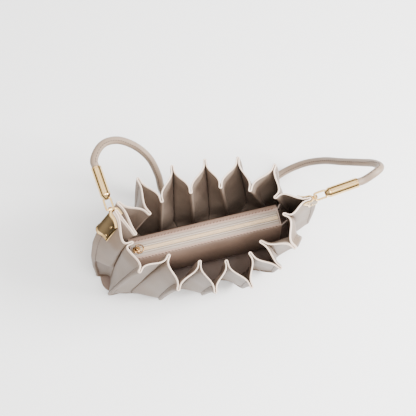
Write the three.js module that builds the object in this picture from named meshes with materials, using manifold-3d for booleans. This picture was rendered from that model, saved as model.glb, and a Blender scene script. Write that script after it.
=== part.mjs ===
// Accordion handbag: one pleated leather wall standing on an oval bottom, open at the top, with a zipped
// pocket hung along its middle, a metal clip over the pleat at each end and one rolled leather strap.
// Units are millimetres, +Z is up, +X runs along the bag and +Y goes to its back. The origin is on the
// underside of the bottom, at its middle.

import * as THREE from 'three';
import { mergeVertices } from 'three/addons/utils/BufferGeometryUtils.js';
import Module from 'manifold-3d';

const wasm = await Module();
wasm.setup();

// Driving dimensions of the pleated wall.
const RIM_HEIGHT = 180;
const MOUTH_HALF_LENGTH = 133;
const MOUTH_HALF_DEPTH = 91;
const FOOT_HALF_LENGTH = 164;
const FOOT_HALF_DEPTH = 62;
const TURN_HEIGHT = 22;
const HEM_TUCK = 16;
const WALL = 2.4;
const FOLD_GAP = 0.6;
const RIM_PINCH = 4;
const FOOT_PINCH = 1.5;
const RIM_CURL = 0.36;
const FOOT_CURL = 0.03;
const TIP_RADIUS = (WALL + FOLD_GAP) / 2;

// Driving dimensions of the bottom.
const BOTTOM_THICKNESS = 3;
const BOTTOM_LEFT = -158;
const BOTTOM_RIGHT = 128;
const BOTTOM_HALF_DEPTH = 37;
const BOTTOM_SQUARENESS = 3;

// Driving dimensions of the zipped pocket.
const POCKET_ROOM_LEFT = 16.41;
const POCKET_ROOM_RIGHT = 10.86;
const POCKET_DROP = 48;
const POCKET_FLOOR = 26;
const POCKET_WALL = 1.6;
const POCKET_FRONT = -20;
const POCKET_BACK = 24;
const POCKET_SHOULDER = 0.09;
const POCKET_SLOPE = 0.3;
const POCKET_CORNER = 0.08;
const POCKET_NARROWING = 0.15;
const ZIP_MIDDLE = 1.5;
const ZIP_OPENING = 19;
const LIP_FRONT = 4;
const LIP_BACK = 4;
const TAPE_THICKNESS = 1.1;
const TAPE_LAP = 4;
const TAPE_SLIT = 0.6;
const COIL_WIDTH = 5.4;
const COIL_HEIGHT = 1.8;
const COIL_CHAMFER = 0.4;
const SLIDER_LENGTH = 10;
const SLIDER_WIDTH = 9;
const SLIDER_HEIGHT = 2.6;
const SLIDER_INSET = 1.5;
const BRIDGE_WIDTH = 3.4;
const BRIDGE_BAR = 1.2;
const PULL_LENGTH = 11;
const PULL_WIDTH = 13;
const PULL_WIRE = 1.6;
const TAB_THICKNESS = 1.8;
const TAB_HEIGHT = 26;
const TAB_DROP = 4;
const TAB_INSET = 2;

// Driving dimensions of the metal clips, the yoked tubes and the strap.
const CLIP_REACH = 17;
const CLIP_HEIGHT = 31;
const CLIP_DROP = 1;
const CLIP_THICKNESS = 1.3;
const SCREW_RADIUS = 1.7;
const SCREW_HEIGHT = 0.8;
const SCREW_SPACING = 16;
const SCREW_REACH = 10;
const KNUCKLE_RADIUS = 3.5;
const KNUCKLE_LENGTH = 5;
const KNUCKLE_DROP = 4;
const KNUCKLE_BITE = 0.8;
const YOKE_WIDTH = 12;
const YOKE_LENGTH = 17;
const YOKE_BAR = 2.2;
const TUBE_RADIUS = 7;
const TUBE_LENGTH = 42;
const TUBE_TAPER = 5;
const TUBE_NOSE = 4;
const TUBE_SOCKET = 8;
const STRAP_RADIUS = 5.6;
const STRAP_STRAIGHT = 9;

// Clearances between pieces that touch.
const SEAM_GAP = 0.3;
const PIN_GAP = 0.6;
const TAB_GAP = 0.6;
const CLIP_GAP = 0.8;
const SCREW_GAP = 0.35;

// Folds of the wall in order, seen from above against the clock from the left end. Outer and inner folds
// take turns, and the first is an outer one. rimX, rimY are shares of the half length and half depth of
// the mouth, footX, footY the same of the foot, and bellyX, bellyY say how far the fold is ahead of a
// straight line when it is a quarter of the way down.
const FOLDS = [
  { name: 'left_end', rimX: -0.86, rimY: 0.555, footX: -0.985, footY: 0.065, bellyX: 0.58, bellyY: 0.32 },
  { name: 'left_front_in', rimX: -0.768, rimY: 0.03, footX: -0.854, footY: -0.065, bellyX: 0.2, bellyY: 0.2 },
  { name: 'front_1', rimX: -0.774, rimY: -0.426, footX: -0.921, footY: -0.468, bellyX: 0.06, bellyY: 0.06 },
  { name: 'front_1_in', rimX: -0.447, rimY: -0.269, footX: -0.713, footY: -0.45, bellyX: 0.05, bellyY: 0.05 },
  { name: 'front_2', rimX: -0.447, rimY: -0.811, footX: -0.488, footY: -0.871, bellyX: 0.1, bellyY: 0.1 },
  { name: 'front_2_in', rimX: -0.168, rimY: -0.462, footX: -0.293, footY: -0.63, bellyX: 0.02, bellyY: 0.02 },
  { name: 'front_3', rimX: -0.098, rimY: -0.976, footX: -0.11, footY: -1, bellyX: 0.1, bellyY: 0.1 },
  { name: 'front_3_in', rimX: 0.084, rimY: -0.547, footX: 0.085, footY: -0.645, bellyX: 0.02, bellyY: 0.02 },
  { name: 'front_4', rimX: 0.264, rimY: -1.025, footX: 0.256, footY: -1.065, bellyX: 0.1, bellyY: 0.1 },
  { name: 'front_4_in', rimX: 0.329, rimY: -0.515, footX: 0.384, footY: -0.55, bellyX: 0.02, bellyY: 0.02 },
  { name: 'front_5', rimX: 0.592, rimY: -0.854, footX: 0.561, footY: -0.86, bellyX: 0.1, bellyY: 0.1 },
  { name: 'front_5_in', rimX: 0.46, rimY: -0.388, footX: 0.616, footY: -0.435, bellyX: 0.05, bellyY: 0.05 },
  { name: 'front_6', rimX: 0.783, rimY: -0.615, footX: 0.835, footY: -0.39, bellyX: 0.32, bellyY: 0.36 },
  { name: 'right_front_in', rimX: 0.758, rimY: -0.071, footX: 0.78, footY: -0.08, bellyX: 0.2, bellyY: 0.2 },
  { name: 'right_end', rimX: 1.065, rimY: 0.06, footX: 0.985, footY: 0.12, bellyX: 0.42, bellyY: 0.42 },
  { name: 'right_back_in', rimX: 0.716, rimY: 0.191, footX: 0.829, footY: 0.419, bellyX: 0.05, bellyY: 0.05 },
  { name: 'back_1', rimX: 0.815, rimY: 0.691, footX: 0.768, footY: 0.758, bellyX: 0.1, bellyY: 0.1 },
  { name: 'back_1_in', rimX: 0.491, rimY: 0.377, footX: 0.646, footY: 0.645, bellyX: 0.02, bellyY: 0.02 },
  { name: 'back_2', rimX: 0.466, rimY: 0.926, footX: 0.488, footY: 0.984, bellyX: 0.08, bellyY: 0.08 },
  { name: 'back_2_in', rimX: 0.212, rimY: 0.526, footX: 0.293, footY: 0.726, bellyX: 0.02, bellyY: 0.02 },
  { name: 'back_3', rimX: 0.132, rimY: 1.009, footX: 0.128, footY: 0.919, bellyX: 0.08, bellyY: 0.08 },
  { name: 'back_3_in', rimX: -0.09, rimY: 0.551, footX: -0.03, footY: 0.742, bellyX: 0.02, bellyY: 0.02 },
  { name: 'back_4', rimX: -0.207, rimY: 1.027, footX: -0.201, footY: 0.935, bellyX: 0.08, bellyY: 0.08 },
  { name: 'back_4_in', rimX: -0.392, rimY: 0.518, footX: -0.341, footY: 0.71, bellyX: 0.02, bellyY: 0.02 },
  { name: 'back_5', rimX: -0.574, rimY: 0.958, footX: -0.561, footY: 0.903, bellyX: 0.1, bellyY: 0.1 },
  { name: 'back_5_in', rimX: -0.536, rimY: 0.379, footX: -0.762, footY: 0.452, bellyX: 0.05, bellyY: 0.05 },
  { name: 'left_back', rimX: -0.82, rimY: 0.67, footX: -0.878, footY: 0.613, bellyX: 0.2, bellyY: 0.2 },
  { name: 'left_back_in', rimX: -0.722, rimY: 0.132, footX: -0.866, footY: 0.226, bellyX: 0.2, bellyY: 0.2 },
];

// Heights at which the wall is drawn, as shares of the way from the rim to the turn above the hem, and
// how much of the hem's tuck each has.
const WALL_LEVELS = [
  { down: 0, tuck: 0 },
  { down: 0.11, tuck: 0 },
  { down: 0.24, tuck: 0 },
  { down: 0.48, tuck: 0 },
  { down: 0.74, tuck: 0 },
  { down: 1, tuck: 0 },
  { down: 1.06, tuck: 0.35 },
];
const HEM_LEVEL = { down: 1, tuck: 1 };

function foldNumber(name) {
  return FOLDS.findIndex((fold) => fold.name === name);
}

// The ends of the mouth: the fold that the clip sits on, the side of it that shows, and the way in plan
// that the tube points, in degrees from +X.
const ENDS = [
  { side: 'left', fold: foldNumber('left_end'), shown: 1, pointing: 95.5 },
  { side: 'right', fold: foldNumber('right_end'), shown: -1, pointing: 6 },
];

// Way of the strap from the left tube round the back to the right one. x is a share of the half length
// of the foot, y of the half depth of the mouth, and rise of the way up from the ground to the tubes.
const STRAP_ROUTE = [
  { x: -0.73, y: 1.53, rise: 0.985 },
  { x: -0.655, y: 1.655, rise: 0.93 },
  { x: -0.542, y: 1.705, rise: 0.84 },
  { x: -0.409, y: 1.64, rise: 0.7 },
  { x: -0.305, y: 1.5, rise: 0.52 },
  { x: -0.255, y: 1.31, rise: 0.32 },
  { x: -0.24, y: 1.145, rise: 0.13 },
  { x: -0.19, y: 1, rise: 0.02 },
  { x: -0.05, y: 0.9, rise: 0 },
  { x: 0.2, y: 0.86, rise: 0 },
  { x: 0.5, y: 0.86, rise: 0 },
  { x: 0.74, y: 0.93, rise: 0.01 },
  { x: 0.92, y: 1.03, rise: 0.05 },
  { x: 1.08, y: 1.03, rise: 0.16 },
  { x: 1.22, y: 0.92, rise: 0.33 },
  { x: 1.33, y: 0.74, rise: 0.52 },
  { x: 1.44, y: 0.56, rise: 0.72 },
  { x: 1.505, y: 0.42, rise: 0.88 },
  { x: 1.51, y: 0.29, rise: 0.99 },
  { x: 1.445, y: 0.21, rise: 1.035 },
];

// Steps that the curved faces are drawn with.
const ARC_STEPS = 3;
const PANEL_STEPS = 4;
const BOTTOM_STEPS = 48;
const ROUND_SIDES = 16;
const SCREW_SIDES = 12;
const STRAP_SIDES = 10;
const STRAP_STEPS = 64;

const leather = { color: 0xb8aa9f, roughness: 0.62, metalness: 0 };
const brownLeather = { color: 0x8d7468, roughness: 0.6, metalness: 0 };
const pocketLeather = { color: 0x957d71, roughness: 0.55, metalness: 0 };
const zipTape = { color: 0xc6beb6, roughness: 0.8, metalness: 0 };
const zipCoil = { color: 0xd6c4aa, roughness: 0.5, metalness: 0 };
const paleGold = { color: 0xe2cfa4, roughness: 0.18, metalness: 1 };
const darkGold = { color: 0xa07c4c, roughness: 0.3, metalness: 1 };

const bag = new THREE.Group();

function addPiece(name, geometry, finish) {
  const mesh = new THREE.Mesh(geometry, new THREE.MeshStandardMaterial(finish));
  mesh.name = name;
  bag.add(mesh);
  return mesh;
}

// A closed body from rows of points: each row is a ring of the same number of points, the rings follow
// each other along the body, and the first and the last are joined when closed is true, else filled by
// a fan.
function skinRings(rings, closed) {
  const count = rings[0].length;
  const positions = rings.flat().flatMap((point) => [point.x, point.y, point.z]);
  const faces = [];
  const bands = closed ? rings.length : rings.length - 1;
  for (let ring = 0; ring < bands; ring += 1) {
    const next = (ring + 1) % rings.length;
    for (let step = 0; step < count; step += 1) {
      const after = (step + 1) % count;
      const a = ring * count + step;
      const b = ring * count + after;
      const c = next * count + after;
      const d = next * count + step;
      faces.push(a, b, c, a, c, d);
    }
  }
  if (!closed) {
    const last = (rings.length - 1) * count;
    for (let step = 1; step < count - 1; step += 1) {
      faces.push(0, step + 1, step);
      faces.push(last, last + step, last + step + 1);
    }
  }
  const geometry = new THREE.BufferGeometry();
  geometry.setAttribute('position', new THREE.Float32BufferAttribute(positions, 3));
  geometry.setIndex(faces);
  return geometry;
}

const WELD_DISTANCE = 1e-4;

// The closed mesh of a geometry as a solid that can be cut or joined, and back again.
function toSolid(geometry) {
  const bare = geometry.clone();
  bare.deleteAttribute('normal');
  bare.deleteAttribute('uv');
  const merged = mergeVertices(bare, WELD_DISTANCE);
  const vertProperties = new Float32Array(merged.attributes.position.array);
  const triVerts = new Uint32Array(merged.index.array);
  return new wasm.Manifold(new wasm.Mesh({ numProp: 3, vertProperties, triVerts }));
}

function fromSolid(solid) {
  const mesh = solid.getMesh();
  const geometry = new THREE.BufferGeometry();
  geometry.setAttribute('position', new THREE.BufferAttribute(mesh.vertProperties, 3));
  geometry.setIndex(new THREE.BufferAttribute(mesh.triVerts, 1));
  return geometry;
}

// Where a fold stands in plan at a level of the wall.
function foldPlan(fold, index, level) {
  const down = Math.min(1, level.down);
  const ahead = 4 * (Math.sqrt(down) - down);
  const rimX = fold.rimX * MOUTH_HALF_LENGTH;
  const rimY = fold.rimY * MOUTH_HALF_DEPTH;
  const footX = fold.footX * FOOT_HALF_LENGTH;
  const footY = fold.footY * FOOT_HALF_DEPTH;
  const x = rimX + (footX - rimX) * (down + fold.bellyX * ahead);
  const y = rimY + (footY - rimY) * (down + fold.bellyY * ahead);
  const plan = new THREE.Vector2(x, y);
  const isOuter = index % 2 === 0;
  return isOuter ? plan.setLength(plan.length() - HEM_TUCK * level.tuck) : plan;
}

// Each fold at a level: the middle of its round tip, the way into the pleat, the way across it towards
// the next fold, how far the pleat stays pinched and how strongly the panels curl.
function foldFrames(level) {
  const plans = FOLDS.map((fold, index) => foldPlan(fold, index, level));
  return plans.map((plan, index) => {
    const before = plans[(index + plans.length - 1) % plans.length].clone().sub(plan).normalize();
    const after = plans[(index + 1) % plans.length].clone().sub(plan).normalize();
    const inward = before.clone().add(after).normalize();
    const across = after.clone().addScaledVector(inward, -after.dot(inward)).normalize();
    const middle = plan.clone().addScaledVector(inward, TIP_RADIUS);
    const down = Math.min(1, level.down);
    const pinch = THREE.MathUtils.lerp(RIM_PINCH, FOOT_PINCH, down);
    const curl = THREE.MathUtils.lerp(RIM_CURL, FOOT_CURL, down);
    return { middle, inward, across, pinch, curl };
  });
}

// The middle line of the panel from one fold to the next: it leaves each fold along the pleat and
// curls between them. Each point carries its direction.
function panelLine(from, to, steps) {
  const start = from.middle.clone().addScaledVector(from.across, TIP_RADIUS);
  start.addScaledVector(from.inward, from.pinch);
  const end = to.middle.clone().addScaledVector(to.across, -TIP_RADIUS);
  end.addScaledVector(to.inward, to.pinch);
  const pull = start.distanceTo(end) * from.curl;
  const first = start.clone().addScaledVector(from.inward, pull);
  const second = end.clone().addScaledVector(to.inward, pull);
  const curve = new THREE.CubicBezierCurve(start, first, second, end);
  const line = [];
  for (let step = 0; step <= steps; step += 1) {
    line.push({ at: curve.getPoint(step / steps), along: curve.getTangent(step / steps) });
  }
  return line;
}

// The round tip of a fold.
function tipLine(frame, steps) {
  const line = [];
  for (let step = 0; step <= steps; step += 1) {
    const angle = Math.PI * (step / steps - 0.5);
    const at = frame.middle.clone();
    at.addScaledVector(frame.inward, -TIP_RADIUS * Math.cos(angle));
    at.addScaledVector(frame.across, TIP_RADIUS * Math.sin(angle));
    const along = frame.inward.clone().multiplyScalar(Math.sin(angle));
    along.addScaledVector(frame.across, Math.cos(angle));
    line.push({ at, along });
  }
  return line;
}

function wallLine(level) {
  const frames = foldFrames(level);
  return frames.flatMap((frame, index) => {
    const next = frames[(index + 1) % frames.length];
    return [...tipLine(frame, ARC_STEPS), ...panelLine(frame, next, PANEL_STEPS)];
  });
}

function levelHeight(level) {
  return RIM_HEIGHT - level.down * (RIM_HEIGHT - TURN_HEIGHT);
}

// A line moved sideways, to the outside of the bag where the offset is positive.
function offsetLine(line, offset, height) {
  return line.map(({ at, along }) => {
    const x = at.x + along.y * offset;
    const y = at.y - along.x * offset;
    return new THREE.Vector3(x, y, height);
  });
}

const hemHeight = BOTTOM_THICKNESS + SEAM_GAP;
const wallHeights = WALL_LEVELS.map(levelHeight);
const wallRows = [...WALL_LEVELS, HEM_LEVEL];
const rowHeights = [...wallHeights, hemHeight];

function makeWall() {
  const outside = wallRows.map((level, row) => offsetLine(wallLine(level), WALL / 2, rowHeights[row]));
  const inside = wallRows.map((level, row) => offsetLine(wallLine(level), -WALL / 2, rowHeights[row]));
  return skinRings([...outside.reverse(), ...inside], true);
}

addPiece('pleated_wall', makeWall(), leather);

// A flat plate with its underside on the ground, from its outline in plan.
function bottomPlate(outline) {
  const settings = { depth: BOTTOM_THICKNESS, bevelEnabled: false };
  return toSolid(new THREE.ExtrudeGeometry(new THREE.Shape(outline), settings));
}

// The bottom: a rounded oval, spread under every pleat as far as the middle of the hem, whose points are
// taken in turn round its centre.
function makeBottom() {
  const oval = [];
  const middleX = (BOTTOM_LEFT + BOTTOM_RIGHT) / 2;
  const halfLength = (BOTTOM_RIGHT - BOTTOM_LEFT) / 2;
  const power = 2 / BOTTOM_SQUARENESS;
  for (let step = 0; step < BOTTOM_STEPS; step += 1) {
    const angle = (2 * Math.PI * step) / BOTTOM_STEPS;
    const x = middleX + halfLength * Math.sign(Math.cos(angle)) * Math.abs(Math.cos(angle)) ** power;
    const y = BOTTOM_HALF_DEPTH * Math.sign(Math.sin(angle)) * Math.abs(Math.sin(angle)) ** power;
    oval.push(new THREE.Vector2(x, y));
  }
  const frames = foldFrames(HEM_LEVEL);
  const hem = frames.flatMap((frame, index) => {
    const next = frames[(index + 1) % frames.length];
    return [...tipLine(frame, 1), ...panelLine(frame, next, PANEL_STEPS)].map((point) => point.at);
  });
  const turnOf = (point) => Math.atan2(point.y, point.x - middleX);
  hem.sort((one, other) => turnOf(one) - turnOf(other));
  return fromSolid(bottomPlate(oval).add(bottomPlate(hem)));
}

addPiece('bottom_panel', makeBottom(), brownLeather);

// A section drawn across the bag (y to the back, z up), run along the bag from one x to another.
function runAlong(section, fromX, toX) {
  const shape = new THREE.Shape(section.map(([y, z]) => new THREE.Vector2(y, z)));
  const geometry = new THREE.ExtrudeGeometry(shape, { depth: toX - fromX, bevelEnabled: false });
  geometry.applyMatrix4(new THREE.Matrix4().set(0, 0, 1, fromX, 1, 0, 0, 0, 0, 1, 0, 0, 0, 0, 0, 1));
  return geometry;
}

// The pocket: a flat-bottomed leather bag with sloping shoulders, open along the zip.
const lipFront = ZIP_MIDDLE - ZIP_OPENING / 2;
const lipBack = ZIP_MIDDLE + ZIP_OPENING / 2;
const pocketTop = RIM_HEIGHT - POCKET_DROP;
const tabDown = (POCKET_DROP + TAB_DROP + TAB_HEIGHT / 2) / (RIM_HEIGHT - TURN_HEIGHT);

// How far along the bag a fold stands at the height of the tabs.
function alongAtTabs(name) {
  const index = FOLDS.findIndex((fold) => fold.name === name);
  return foldPlan(FOLDS[index], index, { down: tabDown, tuck: 0 }).x;
}

const pocketLeft = Math.max(alongAtTabs('left_front_in'), alongAtTabs('left_back_in')) + POCKET_ROOM_LEFT;
const pocketRight = Math.min(alongAtTabs('right_front_in'), alongAtTabs('right_back_in')) - POCKET_ROOM_RIGHT;
const pocketHeight = pocketTop - POCKET_FLOOR;

function pocketSection(inset) {
  const front = POCKET_FRONT + inset;
  const back = POCKET_BACK - inset;
  const floor = POCKET_FLOOR + inset;
  const top = pocketTop - inset;
  const shoulder = pocketTop - pocketHeight * POCKET_SHOULDER - inset;
  const corner = POCKET_FLOOR + pocketHeight * POCKET_CORNER;
  const narrow = (back - front) * POCKET_NARROWING;
  return [
    [front + narrow, floor],
    [back - narrow, floor],
    [back, corner],
    [back, shoulder],
    [lipBack + LIP_BACK, top],
    [lipFront - LIP_FRONT, top],
    [front, shoulder - pocketHeight * POCKET_SLOPE],
    [front, corner],
  ];
}

function makePocket() {
  const outer = toSolid(runAlong(pocketSection(0), pocketLeft, pocketRight));
  const innerLeft = pocketLeft + POCKET_WALL;
  const innerRight = pocketRight - POCKET_WALL;
  const inner = toSolid(runAlong(pocketSection(POCKET_WALL), innerLeft, innerRight));
  const slotSection = [
    [lipFront, pocketTop - 2 * POCKET_WALL],
    [lipBack, pocketTop - 2 * POCKET_WALL],
    [lipBack, pocketTop + POCKET_WALL],
    [lipFront, pocketTop + POCKET_WALL],
  ];
  const slot = toSolid(runAlong(slotSection, innerLeft, innerRight));
  return fromSolid(outer.subtract(inner).subtract(slot));
}

addPiece('zip_pocket', makePocket(), pocketLeather);

// The zip: a tape under each lip of the pocket and a coil over the slit between them.
const zipLeft = pocketLeft + POCKET_WALL + SEAM_GAP;
const zipRight = pocketRight - POCKET_WALL - SEAM_GAP;
const tapeTop = pocketTop - POCKET_WALL - SEAM_GAP;

function makeTape(side) {
  const slitEdge = ZIP_MIDDLE + (side * TAPE_SLIT) / 2;
  const lappedEdge = ZIP_MIDDLE + side * (ZIP_OPENING / 2 + TAPE_LAP - SEAM_GAP);
  const low = Math.min(slitEdge, lappedEdge);
  const high = Math.max(slitEdge, lappedEdge);
  const section = [
    [low, tapeTop - TAPE_THICKNESS],
    [high, tapeTop - TAPE_THICKNESS],
    [high, tapeTop],
    [low, tapeTop],
  ];
  return runAlong(section, zipLeft, zipRight);
}

addPiece('zip_tape_front', makeTape(-1), zipTape);
addPiece('zip_tape_back', makeTape(1), zipTape);

const coilBottom = tapeTop + SEAM_GAP;
const coilTop = coilBottom + COIL_HEIGHT;

function makeCoil() {
  const half = COIL_WIDTH / 2;
  const section = [
    [ZIP_MIDDLE - half, coilBottom],
    [ZIP_MIDDLE + half, coilBottom],
    [ZIP_MIDDLE + half, coilTop - COIL_HEIGHT * COIL_CHAMFER],
    [ZIP_MIDDLE + half * (1 - COIL_CHAMFER), coilTop],
    [ZIP_MIDDLE - half * (1 - COIL_CHAMFER), coilTop],
    [ZIP_MIDDLE - half, coilTop - COIL_HEIGHT * COIL_CHAMFER],
  ];
  return runAlong(section, zipLeft + SEAM_GAP, zipRight - SEAM_GAP);
}

addPiece('zip_coil', makeCoil(), zipCoil);

// The slider rides on the coil at its left end. Its bridge is a small arch whose eye takes the pull.
const sliderX = zipLeft + SLIDER_INSET + SLIDER_LENGTH / 2;
const sliderBottom = coilTop + SEAM_GAP;
const sliderTop = sliderBottom + SLIDER_HEIGHT;
const eyeSize = PULL_WIRE * Math.SQRT2 + 2 * SEAM_GAP;
const pullAxisZ = sliderTop + eyeSize / 2;

// A box over the slider's middle, given its size and the height of its top.
function sliderBox(lengthX, lengthY, lengthZ, top) {
  const box = new THREE.BoxGeometry(lengthX, lengthY, lengthZ);
  return toSolid(box.translate(sliderX, ZIP_MIDDLE, top - lengthZ / 2));
}

function makeSlider() {
  const body = sliderBox(SLIDER_LENGTH, SLIDER_WIDTH, SLIDER_HEIGHT, sliderTop);
  const archHeight = eyeSize + BRIDGE_BAR + SLIDER_HEIGHT / 2;
  const archLength = eyeSize + 2 * BRIDGE_BAR;
  const arch = sliderBox(archLength, BRIDGE_WIDTH, archHeight, sliderTop + eyeSize + BRIDGE_BAR);
  const eye = sliderBox(eyeSize, SLIDER_WIDTH, eyeSize, sliderTop + eyeSize);
  return fromSolid(body.add(arch).subtract(eye));
}

addPiece('zip_slider', makeSlider(), darkGold);

// A flat frame with a round far end, drawn with the middle of its near bar on the origin, along +X.
function frameShape(length, width, bar) {
  const shape = new THREE.Shape();
  const radius = width / 2;
  const straight = length - bar / 2 - radius;
  shape.moveTo(-bar / 2, -radius);
  shape.lineTo(straight, -radius);
  shape.absarc(straight, 0, radius, -Math.PI / 2, Math.PI / 2, false);
  shape.lineTo(-bar / 2, radius);
  const hole = new THREE.Path();
  hole.moveTo(bar / 2, -radius + bar);
  hole.lineTo(bar / 2, radius - bar);
  hole.lineTo(straight, radius - bar);
  hole.absarc(straight, 0, radius - bar, Math.PI / 2, -Math.PI / 2, true);
  shape.holes.push(hole);
  return shape;
}

function makePull() {
  const shape = frameShape(PULL_LENGTH, PULL_WIDTH, PULL_WIRE);
  const settings = { depth: PULL_WIRE, bevelEnabled: false, curveSegments: ARC_STEPS * 2 };
  const frame = new THREE.ExtrudeGeometry(shape, settings);
  return frame.translate(0, 0, -PULL_WIRE / 2);
}

addPiece('zip_pull', makePull(), darkGold).position.set(sliderX, ZIP_MIDDLE, pullAxisZ);

// The two levels that a height of the wall lies between, and how far down between them it is.
function bandAt(height) {
  const below = wallHeights.findIndex((levelHeightHere) => levelHeightHere < height);
  const low = Math.max(1, below);
  const share = (wallHeights[low - 1] - height) / (wallHeights[low - 1] - wallHeights[low]);
  return { low, share };
}

// A fold at any height of the wall.
function foldAt(foldIndex, height) {
  const { low, share } = bandAt(height);
  const upper = foldFrames(WALL_LEVELS[low - 1])[foldIndex];
  const lower = foldFrames(WALL_LEVELS[low])[foldIndex];
  return {
    middle: upper.middle.clone().lerp(lower.middle, share),
    inward: upper.inward.clone().lerp(lower.inward, share).normalize(),
  };
}

// The point just inside the tip of an inner fold.
function innerTip(foldIndex, height) {
  const fold = foldAt(foldIndex, height);
  return fold.middle.addScaledVector(fold.inward, -TIP_RADIUS - WALL / 2 - TAB_GAP);
}

// The tabs that hang the pocket: each is sewn to the pocket's end and reaches the nearest inner fold.
function makeTab(endX, y, foldIndex) {
  const heights = [pocketTop - TAB_DROP - TAB_HEIGHT, pocketTop - TAB_DROP];
  const rings = heights.map((height) => {
    const tip = innerTip(foldIndex, height);
    const root = new THREE.Vector2(endX, y);
    const aside = tip.clone().sub(root).normalize().multiplyScalar(TAB_THICKNESS / 2);
    const rootAside = (Math.sign(endX) * TAB_THICKNESS) / 2;
    const corners = [
      [root.x, root.y - rootAside],
      [tip.x + aside.y, tip.y - aside.x],
      [tip.x - aside.y, tip.y + aside.x],
      [root.x, root.y + rootAside],
    ];
    return corners.map(([x, across]) => new THREE.Vector3(x, across, height));
  });
  return skinRings(rings, false);
}

const tabFrontY = lipFront - TAB_INSET;
const tabBackY = lipBack + TAB_INSET;
const leftTabX = pocketLeft - SEAM_GAP;
const rightTabX = pocketRight + SEAM_GAP;

const TABS = [
  { name: 'left_front_tab', x: leftTabX, y: tabFrontY, fold: 'left_front_in' },
  { name: 'left_back_tab', x: leftTabX, y: tabBackY, fold: 'left_back_in' },
  { name: 'right_front_tab', x: rightTabX, y: tabFrontY, fold: 'right_front_in' },
  { name: 'right_back_tab', x: rightTabX, y: tabBackY, fold: 'right_back_in' },
];
for (const tab of TABS) {
  addPiece(tab.name, makeTab(tab.x, tab.y, foldNumber(tab.fold)), brownLeather);
}

// The middle line of the wall on both sides of a fold, from the last panel through the tip to the next.
function lineRoundFold(level, foldIndex) {
  const frames = foldFrames(level);
  const before = frames[(foldIndex + frames.length - 1) % frames.length];
  const frame = frames[foldIndex];
  const after = frames[(foldIndex + 1) % frames.length];
  return [
    ...panelLine(before, frame, PANEL_STEPS),
    ...tipLine(frame, ARC_STEPS),
    ...panelLine(frame, after, PANEL_STEPS),
  ];
}

// A point on the wall round a fold, at a place along it and at a height, moved outward by an offset. It
// follows the flat faces that the wall is drawn with between two levels.
function wallPoint(foldIndex, place, height, offset) {
  const { low, share } = bandAt(height);
  const upper = offsetLine(lineRoundFold(WALL_LEVELS[low - 1], foldIndex), offset, wallHeights[low - 1]);
  const lower = offsetLine(lineRoundFold(WALL_LEVELS[low], foldIndex), offset, wallHeights[low]);
  const points = upper.map((point, index) => point.clone().lerp(lower[index], share));
  return points[place.index].clone().lerp(points[place.index + 1], place.share);
}

// The place that lies a distance past the tip of a fold.
function placeAlong(foldIndex, distance) {
  const line = lineRoundFold(WALL_LEVELS[0], foldIndex);
  const lengths = [0];
  for (let index = 1; index < line.length; index += 1) {
    lengths.push(lengths[index - 1] + line[index].at.distanceTo(line[index - 1].at));
  }
  const target = lengths[line.length - 1] / 2 + distance;
  const index = Math.max(0, lengths.findLastIndex((length) => length < target));
  return { index, share: (target - lengths[index]) / (lengths[index + 1] - lengths[index]) };
}

const clipTop = RIM_HEIGHT - CLIP_DROP;

// How much longer a fold is near the rim than the height that it covers, because it leans.
function leanOf(foldIndex) {
  const rim = foldFrames(WALL_LEVELS[0])[foldIndex].middle;
  const next = foldFrames(WALL_LEVELS[1])[foldIndex].middle;
  return Math.hypot(1, rim.distanceTo(next) / (wallHeights[0] - wallHeights[1]));
}

// The inner and outer face of a clip and the screw's seat, as distances from the middle of the wall. They
// are measured level, so they grow where the fold leans.
function clipFaces(foldIndex) {
  const lean = leanOf(foldIndex);
  const inside = WALL / 2 + CLIP_GAP * lean;
  const outside = inside + CLIP_THICKNESS * lean;
  const screwMiddle = outside + (SCREW_GAP + SCREW_HEIGHT / 2) * lean;
  return { inside, outside, screwMiddle };
}

// The clip: a plate bent round the fold, with a knuckle on its edge that holds the yoke's bar.
function makePlate(foldIndex) {
  const bottom = clipTop - CLIP_HEIGHT / leanOf(foldIndex);
  const between = wallHeights.filter((height) => height < clipTop && height > bottom);
  const heights = [clipTop, ...between, bottom];
  const { inside, outside } = clipFaces(foldIndex);
  const first = placeAlong(foldIndex, -CLIP_REACH);
  const last = placeAlong(foldIndex, CLIP_REACH);
  const places = [first];
  for (let index = first.index + 1; index <= last.index; index += 1) {
    places.push({ index, share: 0 });
  }
  places.push(last);
  const rings = places.map((place) => {
    const outer = heights.map((height) => wallPoint(foldIndex, place, height, outside));
    const inner = heights.map((height) => wallPoint(foldIndex, place, height, inside));
    return [...outer, ...inner.reverse()];
  });
  return skinRings(rings, false);
}

function endPlacing(end) {
  const frame = foldAt(end.fold, RIM_HEIGHT - KNUCKLE_DROP);
  const facing = Math.cos(Math.PI / (2 * ARC_STEPS));
  const plateFace = (TIP_RADIUS + clipFaces(end.fold).outside) * facing;
  const reach = plateFace + KNUCKLE_RADIUS - KNUCKLE_BITE;
  const angle = THREE.MathUtils.degToRad(end.pointing);
  const pointing = new THREE.Vector3(Math.cos(angle), Math.sin(angle), 0);
  const tip = new THREE.Vector3(frame.middle.x, frame.middle.y, RIM_HEIGHT - KNUCKLE_DROP);
  const centre = tip.addScaledVector(pointing, reach);
  return { centre, angle, pointing };
}

const eyeRadius = (YOKE_BAR / 2) * Math.SQRT2 + PIN_GAP;

function makeClip(end) {
  const { centre, angle } = endPlacing(end);
  const knuckle = new THREE.CylinderGeometry(KNUCKLE_RADIUS, KNUCKLE_RADIUS, KNUCKLE_LENGTH, ROUND_SIDES);
  const eye = new THREE.CylinderGeometry(eyeRadius, eyeRadius, KNUCKLE_LENGTH * 2, ROUND_SIDES);
  const place = new THREE.Matrix4().makeRotationZ(angle).setPosition(centre);
  const plate = toSolid(makePlate(end.fold));
  const joined = plate.add(toSolid(knuckle.applyMatrix4(place)));
  return fromSolid(joined.subtract(toSolid(eye.applyMatrix4(place))));
}

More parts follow.
